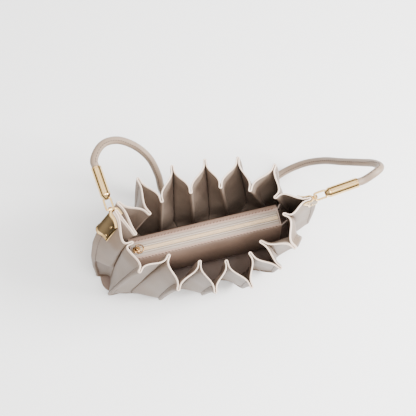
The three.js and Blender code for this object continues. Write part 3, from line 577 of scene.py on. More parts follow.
def thread(name, colour):
    """Twisted thread: fine slanted bands as a bump on a soft colour, which is darker in the grooves
    between the bands as painted shade.
    """
    material, tree, shader = new_material(name)
    twist = node(
        tree,
        "ShaderNodeTexWave",
        {"Vector": own_place(tree), "Scale": TWISTS_PER_METRE},
        bands_direction="DIAGONAL",
    ).outputs["Fac"]
    bump = node(tree, "ShaderNodeBump", {"Height": twist, "Distance": TWIST_DEPTH * MM})
    # Painted shade: the colour darkens where the twist's bump is low.
    between = paint(*(part * TWIST_GROOVE_SHADE for part in colour))
    tree.links.new(mixed(tree, twist, between, paint(*colour)), shader.inputs["Base Color"])
    tree.links.new(bump.outputs["Normal"], shader.inputs["Normal"])
    shader.inputs["Roughness"].default_value = 0.7
    return material


def fold_stitch_rows():
    """The middles, ways and normals of the stitches beside the outer folds, on the wall's outside."""
    stitch_heights = np.arange(RIM_HEIGHT - STITCH_MARGIN, TURN_HEIGHT + STITCH_MARGIN, -STITCH_PITCH)
    rows = np.interp(-stitch_heights, -wall_heights, all_rows).round().astype(int)
    first = np.flatnonzero(fold_is_outer) * line_steps
    columns = np.concatenate([first + TIP_STEPS + 2, first - 2]) % wall_line.shape[1]
    at = outside[rows][:, columns]
    above = outside[np.clip(rows - 1, 0, None)][:, columns]
    below = outside[rows + 1][:, columns]
    rise = (stitch_heights - wall_heights[rows])[:, None, None]
    ways = unit(below - above)
    middles = at + ways * (rise / ways[..., 2:3])
    normal = np.concatenate([wall_normal[rows][:, columns], np.zeros((*at.shape[:2], 1))], axis=-1)
    return middles.reshape(-1, 3), ways.reshape(-1, 3), normal.reshape(-1, 3)


taupe_thread = thread("taupe_thread", (86, 68, 56))
fold_stitches = stitches("fold_stitches", *fold_stitch_rows(), STITCH_LENGTH, STITCH_RADIUS, taupe_thread)

# Bottom. One plate of brown leather on the ground, under the hem of every pleat, with its edge rounded
# by the sewing. Only a piece of it shows, at the left end.
BOTTOM_THICKNESS = 3.0
BOTTOM_LEFT, BOTTOM_RIGHT = -158.0, 128.0
BOTTOM_HALF_DEPTH = 37.0
BOTTOM_SQUARENESS = 3.0
BOTTOM_STEPS = 360
BOTTOM_EDGE = 1.2


def end_caps(rings, count):
    """The first and the last ring of a run of rings, each of a count of points, as two flat faces."""
    return [list(range(count))[::-1], list(range((rings - 1) * count, rings * count))]


def rounded_plate(outline, bottom, top, edge):
    """Rings and faces of a plate with a rounded rim, from its outline in plan. Each ring is the outline
    drawn towards its middle by what the quarter circle of the rim takes off at that height."""
    angles = np.linspace(-np.pi / 2, np.pi / 2, 7)
    middle = outline.mean(axis=0)
    reach = np.linalg.norm(outline - middle, axis=1, keepdims=True)
    rings = []
    for angle in angles:
        ring = middle + (outline - middle) * (1 - edge * (1 - np.cos(angle)) / reach)
        centre = top - edge if angle > 0 else bottom + edge
        height = (top + bottom) / 2 if abs(angle) < 1e-6 else centre + edge * np.sin(angle)
        rings.append(np.column_stack([ring, np.full(len(ring), height)]))
    count = len(outline)
    faces = grid_faces(len(rings), count, wrap_columns=True).tolist()
    return np.array(rings), faces + end_caps(len(rings), count)


def bottom_outline():
    """The outline in plan, by angle: the larger of a squared oval and of the line under the hem."""
    hem = wall_lines(np.array([1.0]), np.array([1.0]))[0][0]
    middle = np.array([(BOTTOM_LEFT + BOTTOM_RIGHT) / 2, 0.0])
    half = np.array([(BOTTOM_RIGHT - BOTTOM_LEFT) / 2, BOTTOM_HALF_DEPTH])
    angle = np.linspace(0, 2 * np.pi, BOTTOM_STEPS, endpoint=False)
    ways = np.column_stack([np.cos(angle), np.sin(angle)])
    oval = (np.abs(ways / half) ** BOTTOM_SQUARENESS).sum(axis=1) ** (-1 / BOTTOM_SQUARENESS)
    from_middle = hem - middle
    hem_angle = np.arctan2(from_middle[:, 1], from_middle[:, 0]) % (2 * np.pi)
    order = np.argsort(hem_angle)
    hem_reach = np.interp(
        angle, hem_angle[order], np.linalg.norm(from_middle, axis=1)[order], period=2 * np.pi
    )
    return middle + ways * np.maximum(oval, hem_reach)[:, None]


brown_leather = leather("brown_leather", (116, 92, 77), (100, 78, 65), 0.55, 0.08, 0.2)
bottom_body = rounded_plate(bottom_outline(), 0.0, BOTTOM_THICKNESS, BOTTOM_EDGE)
bottom = new_piece("bottom_plate", *bottom_body, [brown_leather], sharp=50)
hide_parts("bottom_panel")

# Zipped pocket. A long flat-bottomed bag of rosy taupe leather, hung along the middle of the mouth. Its
# top is open under the zip, and each lip is turned and sewn down with one row of slanted stitches.
POCKET_LEFT, POCKET_RIGHT = -107.0, 103.0
POCKET_TOP, POCKET_FLOOR = 132.0, 26.0
POCKET_FRONT, POCKET_BACK = -20.0, 24.0
POCKET_WALL = 1.6
POCKET_SHOULDER, POCKET_SLOPE = 0.09, 0.3
POCKET_CORNER, POCKET_NARROWING = 0.08, 0.15
ZIP_MIDDLE, ZIP_OPENING = 1.5, 19.0
LIP = 4.0
POCKET_STATIONS = 60
SLACK_DEPTH, SLACK_WAVES = 0.9, 3
SLACK_TOP, SLACK_RUN, SLACK_FLOOR = 6.0, 30.0, 12.0
END_DRAWN_IN = 0.995
LIP_STITCH_PITCH = 4.6
LIP_STITCH_LENGTH = 3.2
LIP_STITCH_RADIUS = 0.45
LIP_STITCH_INSET = 3.4
LIP_STITCH_SLANT = 1.1
LIP_SEAM_START, LIP_SEAM_END = 5.0, 4.0

lip_front = ZIP_MIDDLE - ZIP_OPENING / 2
lip_back = ZIP_MIDDLE + ZIP_OPENING / 2


def cut_corners(line, times):
    """An open line of points with its corners cut to rounds: each time, every stretch keeps its middle
    half, and the two ends stay."""
    for _ in range(times):
        near = line[:-1] * 0.75 + line[1:] * 0.25
        far = line[:-1] * 0.25 + line[1:] * 0.75
        between = np.stack([near, far], axis=1).reshape(-1, 2)
        line = np.vstack([line[:1], between, line[-1:]])
    return line


def pocket_section():
    """The outer line of the section, y and z, from the front lip down round to the back lip."""
    height = POCKET_TOP - POCKET_FLOOR
    shoulder = POCKET_TOP - height * POCKET_SHOULDER
    corner = POCKET_FLOOR + height * POCKET_CORNER
    narrow = (POCKET_BACK - POCKET_FRONT) * POCKET_NARROWING
    corners = [
        [lip_front, POCKET_TOP],
        [lip_front - LIP, POCKET_TOP],
        [POCKET_FRONT, shoulder - height * POCKET_SLOPE],
        [POCKET_FRONT, corner],
        [POCKET_FRONT + narrow, POCKET_FLOOR],
        [POCKET_BACK - narrow, POCKET_FLOOR],
        [POCKET_BACK, corner],
        [POCKET_BACK, shoulder],
        [lip_back + LIP, POCKET_TOP],
        [lip_back, POCKET_TOP],
    ]
    return cut_corners(np.array(corners), 3)


def run_along(rings, stations):
    """A body from one ring of y and z for each x: rings are stations by points by 2. Its ends are
    closed by flat faces."""
    count = rings.shape[1]
    x = np.broadcast_to(np.asarray(stations)[:, None, None], (*rings.shape[:2], 1))
    points = np.concatenate([x, rings], axis=-1)
    faces = grid_faces(len(stations), count, wrap_columns=True).tolist()
    return points, faces + end_caps(len(stations), count)


def joined(*bodies):
    """Several bodies of points and faces as one."""
    points, faces, count = [], [], 0
    for body_points, body_faces in bodies:
        flat = np.asarray(body_points).reshape(-1, 3)
        points.append(flat)
        faces.extend([int(number) + count for number in face] for face in body_faces)
        count += len(flat)
    return np.vstack(points), faces


def pocket_body():
    """The pocket's wall as one ring run along the bag, a little slack between its ends, and the two flat
    end pieces, drawn in by a hair so that no two faces lie in one place."""
    outer = pocket_section()
    way = unit(np.gradient(outer, axis=0))
    inner = outer + np.column_stack([-way[:, 1], way[:, 0]]) * POCKET_WALL
    ring = np.vstack([outer, inner[::-1]])
    stations = np.linspace(POCKET_LEFT, POCKET_RIGHT, POCKET_STATIONS)
    along = np.linspace(0, np.pi, POCKET_STATIONS)
    slack = SLACK_DEPTH * np.sin(along * SLACK_WAVES) ** 2 * np.sin(along)
    below_lip = np.clip((POCKET_TOP - SLACK_TOP - ring[:, 1]) / SLACK_RUN, 0, 1)
    depth = below_lip * (ring[:, 1] > POCKET_FLOOR + SLACK_FLOOR)
    rings = np.broadcast_to(ring, (POCKET_STATIONS, *ring.shape)).copy()
    rings[:, :, 0] += slack[:, None] * depth * np.sign(ZIP_MIDDLE - ring[:, 0])
    end_ring = outer.mean(axis=0) + (outer - outer.mean(axis=0)) * END_DRAWN_IN
    ends = [
        run_along(np.stack([end_ring, end_ring]), [start, start + POCKET_WALL])
        for start in (POCKET_LEFT, POCKET_RIGHT - POCKET_WALL)
    ]
    return joined(run_along(rings, stations), *ends)


pocket_leather = leather("pocket_leather", (148, 122, 106), (134, 109, 95), 0.5, 0.06, 0.1)
pocket = new_piece("zip_pocket_leather", *pocket_body(), [pocket_leather], sharp=55)
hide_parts("zip_pocket")

brown_thread = thread("brown_thread", (92, 54, 38))
front_line, back_line = np.array_split(pocket_section(), 2)
seam_x = np.arange(POCKET_LEFT + LIP_SEAM_START, POCKET_RIGHT - LIP_SEAM_END, LIP_STITCH_PITCH)
for side, out, lip_edge, lip_line in (
    ("front", -1, lip_front, front_line),
    ("back", 1, lip_back, back_line),
):
    from_edge = lip_line - [lip_edge + out * LIP_STITCH_INSET, POCKET_TOP]
    seam_point = int(np.argmin(np.linalg.norm(from_edge, axis=1)))
    seam_way = unit(lip_line[seam_point + 1] - lip_line[seam_point - 1]) * -out
    seam = np.column_stack([seam_x, np.broadcast_to(lip_line[seam_point], (len(seam_x), 2))])
    slanted = unit(np.broadcast_to([1.0, *(LIP_STITCH_SLANT * seam_way)], seam.shape))
    upright = np.broadcast_to([0.0, -seam_way[1], seam_way[0]], seam.shape)
    lip_seam = stitches(
        f"pocket_stitches_{side}",
        seam,
        slanted,
        upright,
        LIP_STITCH_LENGTH,
        LIP_STITCH_RADIUS,
        brown_thread,
    )

# Zip. Two ribbed cloth tapes lie under the lips of the pocket, and two rows of cream coil are closed
# between them. The coil is one ring of y and z run along the bag, higher where a tooth is.
TAPE_THICKNESS = 1.1
TAPE_LAP = 4.0
TAPE_SLIT = 0.6
SEAM_GAP = 0.3
TAPE_REACH = 13.2
# Places across the tape, as shares of its reach from the zip's middle, with their brightness.
TAPE_LINES = (
    (0.0, 0.25),
    (0.22, 0.25),
    (0.26, 1.25),
    (0.36, 1.25),
    (0.39, 0.35),
    (0.42, 0.35),
    (0.45, 1.0),
)
RIB_SCALE, CROSS_SCALE, CROSS_SHARE, RIB_DEPTH = 240.0, 520.0, 0.4, 0.35
COIL_WIDTH, COIL_HEIGHT = 5.4, 1.8
TOOTH_PITCH = 1.5
TOOTH_STEPS = 8

zip_left = POCKET_LEFT + POCKET_WALL + SEAM_GAP
zip_right = POCKET_RIGHT - POCKET_WALL - SEAM_GAP
tape_top = POCKET_TOP - POCKET_WALL - SEAM_GAP
coil_bottom = tape_top + SEAM_GAP
coil_top = coil_bottom + COIL_HEIGHT


def ribbed_cloth(name, light, dark):
    """Woven tape: fine ribs across the tape, crossed by finer threads along it, darker in the rib valleys
    as painted shade. Its light and dark lines lie at shares of its reach from the middle of the zip."""
    material, tree, shader = new_material(name)
    place = own_place(tree)
    ribs = node(
        tree,
        "ShaderNodeTexWave",
        {"Vector": place, "Scale": RIB_SCALE, "Distortion": 0.4, "Detail Scale": 60.0},
        bands_direction="X",
    ).outputs["Fac"]
    threads = node(
        tree,
        "ShaderNodeTexWave",
        {"Vector": place, "Scale": CROSS_SCALE},
        bands_direction="Y",
    ).outputs["Fac"]
    height = math_node(tree, "ADD", ribs, math_node(tree, "MULTIPLY", threads, CROSS_SHARE))
    # Painted shade: the colour goes to the dark tone in the valleys of the ribs.
    ribbed = mixed(tree, ribs, paint(*dark), paint(*light))
    across = node(tree, "ShaderNodeSeparateXYZ", {"Vector": place}).outputs["Y"]
    aside = math_node(tree, "ABSOLUTE", math_node(tree, "SUBTRACT", across, ZIP_MIDDLE * MM))
    reach = math_node(tree, "DIVIDE", aside, TAPE_REACH * MM)
    colour = mixed(tree, 1.0, ribbed, grey_bands(tree, reach, TAPE_LINES), "MULTIPLY")
    bump = node(tree, "ShaderNodeBump", {"Height": height, "Distance": RIB_DEPTH * MM})
    tree.links.new(colour, shader.inputs["Base Color"])
    tree.links.new(bump.outputs["Normal"], shader.inputs["Normal"])
    shader.inputs["Roughness"].default_value = 0.8
    return material


tape_cloth = ribbed_cloth("tape_cloth", (182, 165, 150), (146, 131, 118))
tape_edge = TAPE_THICKNESS / 2
edge_angle = np.linspace(-np.pi / 2, np.pi / 2, 5)
edge_out, edge_up = tape_edge * np.cos(edge_angle), tape_edge * np.sin(edge_angle)
for side, out in (("front", -1), ("back", 1)):
    inner_edge = ZIP_MIDDLE + out * TAPE_SLIT / 2
    outer_edge = ZIP_MIDDLE + out * (ZIP_OPENING / 2 + TAPE_LAP - SEAM_GAP)
    low_edge, high_edge = sorted([inner_edge, outer_edge])
    high_round = np.column_stack([high_edge - tape_edge + edge_out, edge_up])
    low_round = np.column_stack([low_edge + tape_edge - edge_out, -edge_up])
    tape_ring = np.vstack([high_round, low_round]) + [0.0, tape_top - tape_edge]
    tape_body = run_along(np.stack([tape_ring, tape_ring]), [zip_left, zip_right])
    tape = new_piece(f"zip_tape_cloth_{side}", *tape_body, [tape_cloth], sharp=60)
    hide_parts(f"zip_tape_{side}")


def coil_rings():
    """Rings of the closed coil, and the places of the rings along the bag. Over its width the top is two
    round ridges with a cleft between them. Along it each ridge rises and falls once a tooth, the two by
    turns: height = foot + ridge (middle + swing cos turn)."""
    stations = np.arange(zip_left + SEAM_GAP, zip_right - SEAM_GAP, TOOTH_PITCH / TOOTH_STEPS)
    across = np.linspace(-1, 1, 17)
    ridge = np.sqrt(np.clip(1 - (2 * np.abs(across) - 1) ** 2, 0, 1))
    turn = 2 * np.pi * stations[:, None] / TOOTH_PITCH + np.pi * (across > 0)
    foot, middle, swing = 0.12, 0.62, 0.26
    top = coil_bottom + COIL_HEIGHT * (foot + ridge * (middle + swing * np.cos(turn)))
    y = np.broadcast_to(ZIP_MIDDLE + across * COIL_WIDTH / 2, top.shape)
    upper = np.stack([y, top], axis=-1)
    lower = np.stack([y, np.full(top.shape, coil_bottom)], axis=-1)
    return np.concatenate([lower, upper[:, ::-1]], axis=1), stations


def moulded(name, light, dark, roughness):
    """Moulded plastic with a faint drift of colour."""
    material, tree, shader = new_material(name)
    drift = node(tree, "ShaderNodeTexNoise", {"Vector": own_place(tree), "Scale": 140.0, "Detail": 2.0})
    colour = mixed(tree, drift.outputs["Fac"], paint(*dark), paint(*light))
    tree.links.new(colour, shader.inputs["Base Color"])
    shader.inputs["Roughness"].default_value = roughness
    return material


coil_plastic = moulded("coil_plastic", (214, 188, 152), (188, 162, 130), 0.35)
coil = new_piece("zip_coil_teeth", *run_along(*coil_rings()), [coil_plastic])
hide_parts("zip_coil")


# Slider and pull. A small cast slider of dark gold rides on the coil at its left end: a waisted top plate
# with a round arch on it. The pull is a loop of round wire with one straight bar under the arch.
TARNISH_SCALE, HAIR_SCALE = 90.0, 260.0
HAIR_STRETCH = (1.0, 14.0, 5.0)


def metal(name, light, dark, roughness, scratch_depth):
    """Polished plated metal: its tone and gloss drift slowly, and hair scratches run in it."""
    material, tree, shader = new_material(name)
    place = own_place(tree)
    drift = node(tree, "ShaderNodeTexNoise", {"Vector": place, "Scale": TARNISH_SCALE, "Detail": 3.0})
    stretched = node(tree, "ShaderNodeMapping", {"Vector": place, "Scale": HAIR_STRETCH})
    hair = node(
        tree,
        "ShaderNodeTexNoise",
        {"Vector": stretched.outputs["Vector"], "Scale": HAIR_SCALE, "Detail": 4.0},
    ).outputs["Fac"]
    colour = mixed(tree, drift.outputs["Fac"], paint(*dark), paint(*light))
    gloss = ranged(tree, hair, roughness - 0.05, roughness + 0.07)
    bump = node(tree, "ShaderNodeBump", {"Height": hair, "Distance": scratch_depth * MM})
    tree.links.new(colour, shader.inputs["Base Color"])
    tree.links.new(gloss, shader.inputs["Roughness"])
    tree.links.new(bump.outputs["Normal"], shader.inputs["Normal"])
    shader.inputs["Metallic"].default_value = 1.0
    return material


def sweep(path, section, closed=False, reference=(0.0, 0.0, 1.0)):
    """A section carried along a path: the section's first axis lies along way x reference, its second
    across that. The section may be one outline or one for each point of the path."""
    if closed:
        way = unit(np.roll(path, -1, axis=0) - np.roll(path, 1, axis=0))
    else:
        way = unit(np.gradient(path, axis=0))
    side = unit(np.cross(way, np.asarray(reference)))
    top = np.cross(side, way)
    outline = np.broadcast_to(section, (len(path), *np.shape(section)[-2:]))
    points = path[:, None] + side[:, None] * outline[..., :1] + top[:, None] * outline[..., 1:]
    count = outline.shape[1]
    faces = grid_faces(len(path), count, closed, True)[:, ::-1].tolist()
    if not closed:
        faces.extend(cap[::-1] for cap in end_caps(len(path), count))
    return points.reshape(-1, 3), faces


def ring_section(radius_x, radius_y, sides, squareness=2.0):
    """A closed outline against the clock: a circle, an ellipse or a rounded box."""
    angle = np.arange(sides) * 2 * np.pi / sides
    cosine, sine = np.cos(angle), np.sin(angle)
    power = 2 / squareness
    return np.column_stack(
        [
            radius_x * np.sign(cosine) * np.abs(cosine) ** power,
            radius_y * np.sign(sine) * np.abs(sine) ** power,
        ]
    )


SLIDER_LENGTH, SLIDER_WIDTH, SLIDER_HEIGHT = 10.0, 9.0, 2.6
SLIDER_INSET = 1.5
SLIDER_WAIST, SLIDER_EDGE = 0.16, 0.7
BRIDGE_WIDTH, BRIDGE_BAR = 3.4, 1.2
BRIDGE_SINK, BRIDGE_FULLNESS, BRIDGE_STEPS = 0.4, 0.7, 17
PULL_LENGTH, PULL_WIDTH, PULL_WIRE = 11.0, 13.0, 1.6
dark_gold = metal("dark_gold", (168, 128, 84), (122, 90, 56), 0.2, 0.01)
slider_x = zip_left + SLIDER_INSET + SLIDER_LENGTH / 2
slider_bottom = coil_top + SEAM_GAP
slider_top = slider_bottom + SLIDER_HEIGHT
eye_size = PULL_WIRE * np.sqrt(2) + 2 * SEAM_GAP
pull_height = slider_top + eye_size / 2


def slider_body():
    """The plate, a rounded box drawn in at its waist, and the arch, a flat bar bent to a half circle."""
    outline = ring_section(SLIDER_LENGTH / 2, SLIDER_WIDTH / 2, 48, 3.6)
    outline[:, 1] *= 1 - SLIDER_WAIST * np.cos(outline[:, 0] / SLIDER_LENGTH * np.pi) ** 2
    plate = rounded_plate(outline + [slider_x, ZIP_MIDDLE], slider_bottom, slider_top, SLIDER_EDGE)
    angle = np.linspace(0, np.pi, BRIDGE_STEPS)
    reach = eye_size / 2 + BRIDGE_BAR / 2
    rise = eye_size + BRIDGE_BAR / 2 + BRIDGE_SINK
    path = np.column_stack(
        [
            slider_x + reach * np.cos(angle),
            np.full(BRIDGE_STEPS, ZIP_MIDDLE),
            slider_top - BRIDGE_SINK + rise * np.sin(angle) ** BRIDGE_FULLNESS,
        ]
    )
    bar = ring_section(BRIDGE_BAR / 2, BRIDGE_WIDTH / 2, 16, 4)
    return joined(plate, sweep(path, bar, reference=(0.0, 1.0, 0.0)))


def pull_body():
    """A closed loop of wire: a straight bar across the slider and a half circle away from it."""
    half = PULL_WIDTH / 2 - PULL_WIRE / 2
    straight = PULL_LENGTH - PULL_WIRE / 2 - PULL_WIDTH / 2
    angle = np.linspace(-np.pi / 2, np.pi / 2, 25)
    bow = np.column_stack([straight + half * np.cos(angle), half * np.sin(angle)])
    bar = np.column_stack([np.zeros(9), np.linspace(half, -half, 9)])
    legs = np.linspace(0, 1, 5)[1:-1, None]
    corners = np.vstack(
        [
            bow,
            bow[-1] + (bar[0] - bow[-1]) * legs,
            bar,
            bar[-1] + (bow[0] - bar[-1]) * legs,
        ]
    )
    path = np.column_stack([corners + [slider_x, ZIP_MIDDLE], np.full(len(corners), pull_height)])
    return sweep(path, ring_section(PULL_WIRE / 2, PULL_WIRE / 2, 12), closed=True)


slider = new_piece("zip_slider_cast", *slider_body(), [dark_gold], sharp=50)
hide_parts("zip_slider")
pull = new_piece("zip_pull_loop", *pull_body(), [dark_gold], body="pull")
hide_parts("zip_pull")

# Pocket tabs. Four short strips of brown leather hang the pocket's ends from the nearest inner folds.
# Each keeps the modelled strip's shape, with its edges rounded by a bevel.
TAB_EDGE = 0.5
for tab_name in ("left_front_tab", "left_back_tab", "right_front_tab", "right_back_tab"):
    tab_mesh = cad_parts[tab_name].data
    loose_corners = np.zeros(len(tab_mesh.vertices) * 3)
    tab_mesh.vertices.foreach_get("co", loose_corners)
    corners, numbers = np.unique(loose_corners.reshape(-1, 3).round(6), axis=0, return_inverse=True)
    numbers = numbers.ravel()
    triangles = [[int(numbers[corner]) for corner in face.vertices] for face in tab_mesh.polygons]
    tab = new_piece(f"{tab_name}_leather", corners / MM, triangles, [brown_leather], sharp=40)
    rounding = tab.modifiers.new("rounding", "BEVEL")
    rounding.width = TAB_EDGE * MM
    rounding.segments = 2
    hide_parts(tab_name)

# Clips. A polished pale gold plate is bent round the end fold and screwed on. Its face has a raised
# border, and a knuckle on its bend holds the bar of the strap's tube.
CLIP_REACH, CLIP_HEIGHT, CLIP_DROP = 17.0, 31.0, 1.0
CLIP_THICKNESS, CLIP_GAP = 1.3, 0.8
CLIP_BORDER, CLIP_BORDER_RISE, CLIP_BEVEL = 2.6, 0.45, 0.5
KNUCKLE_RADIUS, KNUCKLE_LENGTH, KNUCKLE_EDGE = 3.5, 5.0, 0.4
KNUCKLE_DROP, KNUCKLE_BITE = 4.0, 0.8
YOKE_BAR, YOKE_BAR_WIDE = 2.2, 2.9
PIN_GAP = 0.6
SCREW_RADIUS, SCREW_HEIGHT = 1.7, 0.8
SCREW_REACH = 10.0
SOLID_TIP_STEPS = 3
CLIP_ROWS, CLIP_COLUMNS = 30, 90
# The two ends of the bag: the fold that carries the clip, which of its two sides shows the screws, and
# where its tube points, in degrees from the bag's length.
ENDS = [
    dict(side="left", fold="left_end", shown=1, pointing=95.5),
    dict(side="right", fold="right_end", shown=-1, pointing=6.0),
]
pale_gold = metal("pale_gold", (236, 202, 146), (208, 170, 112), 0.12, 0.006)
satin_gold = metal("satin_gold", (132, 112, 82), (110, 92, 66), 0.34, 0.008)
clip_top = RIM_HEIGHT - CLIP_DROP


def end_facts(end):
    """How an end fold leans, where its knuckle is and which way its tube points. The plate's face is taken
    as flat over the fold's tip, as it is in the solid."""
    fold = fold_names.index(end["fold"])
    middles = fold_frames(LEVELS[:2], np.zeros(2))[0][:, fold]
    step = LEVELS[1] * (RIM_HEIGHT - TURN_HEIGHT)
    lean = np.hypot(1, np.linalg.norm(middles[1] - middles[0]) / step)
    outside_face = WALL / 2 + (CLIP_GAP + CLIP_THICKNESS) * lean
    plate_face = (TIP_RADIUS + outside_face) * np.cos(np.pi / 2 / SOLID_TIP_STEPS)
    angle = np.radians(end["pointing"])
    pointing = np.array([np.cos(angle), np.sin(angle), 0.0])
    at_knuckle = middles[0] + (middles[1] - middles[0]) * KNUCKLE_DROP / step
    tip = np.array([*at_knuckle, RIM_HEIGHT - KNUCKLE_DROP])
    centre = tip + pointing * (plate_face + KNUCKLE_RADIUS - KNUCKLE_BITE)
    return dict(fold=fold, lean=lean, centre=centre, pointing=pointing)


def clip_lines(facts, rows, columns):
    """Points and normals in plan of the wall's middle line round a fold: the line between the folds on
    both sides of it, cut at equal distances from its middle at the rim, and in the same places below."""
    heights = np.linspace(clip_top, clip_top - CLIP_HEIGHT / facts["lean"], rows)
    down = (RIM_HEIGHT - heights) / (RIM_HEIGHT - TURN_HEIGHT)
    line, way = wall_lines(down, np.zeros(rows))
    first = facts["fold"] * line_steps
    near = np.arange(first - PANEL_STEPS - 1, first + line_steps) % line.shape[1]
    line, way = line[:, near], way[:, near]
    rim_line = wall_lines(np.zeros(1), np.zeros(1))[0][0, near]
    lengths = np.cumsum(np.linalg.norm(np.diff(rim_line, axis=0, prepend=rim_line[:1]), axis=-1))
    numbers = np.arange(len(near))
    distances = np.linspace(-CLIP_REACH, CLIP_REACH, columns)
    wanted = np.interp(lengths[-1] / 2 + distances, lengths, numbers)
    cut = []
    for row in range(rows):
        values = np.column_stack([line[row], way[row]])
        cut.append(np.column_stack([np.interp(wanted, numbers, value) for value in values.T]))
    cut = np.array(cut)
    normal = unit(np.stack([cut[..., 3], -cut[..., 2]], axis=-1))
    return cut[..., :2], normal, heights, distances


def clip_plate(facts):
    """The bent plate: an inner and an outer face off the wall's line, joined round their edges, with the
    outer face raised in a border, and which of the outer faces lie inside the border."""
    at, normal, heights, distances = clip_lines(facts, CLIP_ROWS, CLIP_COLUMNS)
    lean = facts["lean"]
    from_top = (clip_top - heights) * lean
    rows_in = np.minimum(from_top, CLIP_HEIGHT - from_top)[:, None]
    columns_in = (CLIP_REACH - np.abs(distances))[None]
    edge = np.minimum(rows_in, columns_in)
    border = np.clip((CLIP_BORDER - edge) / CLIP_BEVEL, 0, 1) * np.clip(edge / CLIP_BEVEL + 0.3, 0, 1)
    inner_off = np.full(border.shape, WALL / 2 + CLIP_GAP * lean)
    outer_off = inner_off + (CLIP_THICKNESS + CLIP_BORDER_RISE * (border - 0.6)) * lean
    tall = np.broadcast_to(heights[:, None, None], (*border.shape, 1))
    outer = np.concatenate([at + normal * outer_off[..., None], tall], axis=-1)
    inner = np.concatenate([at + normal * inner_off[..., None], tall], axis=-1)
    corners = edge[:-1, :-1], edge[:-1, 1:], edge[1:, 1:], edge[1:, :-1]
    is_recess = np.min(corners, axis=0) > CLIP_BORDER - 0.3
    return shell(outer, inner), is_recess.ravel()


def shell(outer, inner):
    """A closed body between two grids of points that face the same way."""
    rows, columns = outer.shape[:2]
    count = rows * columns
    outer_faces = grid_faces(rows, columns)[:, ::-1]
    inner_faces = grid_faces(rows, columns) + count
    numbers = np.arange(count).reshape(rows, columns)
    rim_line = np.concatenate([numbers[0], numbers[1:, -1], numbers[-1, -2::-1], numbers[-2:0:-1, 0]])
    following = np.roll(rim_line, -1)
    rim_faces = np.column_stack([rim_line, following, following + count, rim_line + count])
    faces = np.vstack([outer_faces, inner_faces, rim_faces]).tolist()
    return np.concatenate([outer.reshape(-1, 3), inner.reshape(-1, 3)]), faces


def lathe(profile, centre, axis, sides):
    """A closed profile of radius and length turned round an axis through a centre."""
    helper = np.array([0.0, 0.0, 1.0]) if abs(axis[2]) < 0.9 else np.array([1.0, 0.0, 0.0])
    side = unit(np.cross(helper, axis))
    top = np.cross(axis, side)
    angle = np.arange(sides) * 2 * np.pi / sides
    round_way = np.cos(angle)[:, None] * side + np.sin(angle)[:, None] * top
    profile = np.asarray(profile)
    points = centre + profile[:, None, 1:] * axis + profile[:, None, :1] * round_way[None]
    return points.reshape(-1, 3), grid_faces(len(profile), sides, True, True).tolist()


def knuckle(facts):
    """A short round sleeve across the plate's bend, with rounded edges."""
    half = KNUCKLE_LENGTH / 2
    bore = YOKE_BAR / 2 * np.sqrt(2) + PIN_GAP
    edge = KNUCKLE_EDGE
    profile = [
        [bore, -half + edge],
        [bore + edge, -half],
        [KNUCKLE_RADIUS - edge, -half],
        [KNUCKLE_RADIUS, -half + edge],
        [KNUCKLE_RADIUS, half - edge],
        [KNUCKLE_RADIUS - edge, half],
        [bore + edge, half],
        [bore, half - edge],
    ]
    axis = np.cross([0.0, 0.0, 1.0], facts["pointing"])
    return lathe(profile, facts["centre"], axis, 32)


def screw_head(centre, axis):
    """A low dome on a short straight foot. Its profile closes a hair off the axis."""
    half = SCREW_HEIGHT / 2
    foot, hair = 0.1, 0.02
    angle = np.linspace(0, np.pi / 2, 6)
    dome = np.column_stack([SCREW_RADIUS * np.cos(angle), -foot + (half + foot) * np.sin(angle)])
    dome[-1, 0] = hair
    profile = np.vstack([[[hair, -half], [SCREW_RADIUS, -half]], dome])
    return lathe(profile, centre, axis, 24)


for end in ENDS:
    facts = end_facts(end)
    plate, is_recess = clip_plate(facts)
    clip = new_piece(
        f"{end['side']}_clip_plate", *joined(plate, knuckle(facts)), [pale_gold, satin_gold], sharp=35
    )
    recess = np.zeros(len(clip.data.polygons), np.int32)
    recess[: len(is_recess)] = is_recess
    clip.data.polygons.foreach_set("material_index", recess)
    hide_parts(f"{end['side']}_clip")
    at, normal, heights, distances = clip_lines(facts, CLIP_ROWS, CLIP_COLUMNS)
    screw_column = int(np.argmin(np.abs(distances - end["shown"] * SCREW_REACH)))
    tall = np.broadcast_to(heights[:, None, None], (*at.shape[:2], 1))
    plate_points = np.concatenate([at, tall], axis=-1)
    for place_name, screw_row in (("upper", CLIP_ROWS // 5), ("lower", CLIP_ROWS - CLIP_ROWS // 5)):
        node_name = f"{end['side']}_screw_{place_name}"
        low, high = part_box(node_name)
        centre = (np.array(low) + np.array(high)) / 2 / MM
        along = plate_points[screw_row, screw_column + 1] - plate_points[screw_row, screw_column - 1]
        downward = plate_points[screw_row + 1, screw_column] - plate_points[screw_row - 1, screw_column]
        facing = unit(np.cross(downward, along))
        screw = new_piece(f"{node_name}_head", *screw_head(centre, facing), [pale_gold], sharp=35)
        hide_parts(node_name)

# Yoked tubes. A loop of squared bar passes through the knuckle and runs into the tapered nose of a
# polished round tube. The far end of the tube is bored, and the strap's end is glued into it.
YOKE_WIDTH, YOKE_LENGTH = 12.0, 17.0
TUBE_RADIUS, TUBE_LENGTH = 7.0, 42.0
TUBE_TAPER, TUBE_NOSE = 5.0, 4.0
TUBE_SOCKET = 8.0
GROOVE_DEPTH, GROOVE_SLOPE, GROOVE_FLOOR = 0.35, 0.3, 0.5
STRAP_RADIUS = 5.6
nose_start = YOKE_LENGTH - YOKE_BAR
tube_start = nose_start + TUBE_TAPER
tube_end = tube_start + TUBE_LENGTH


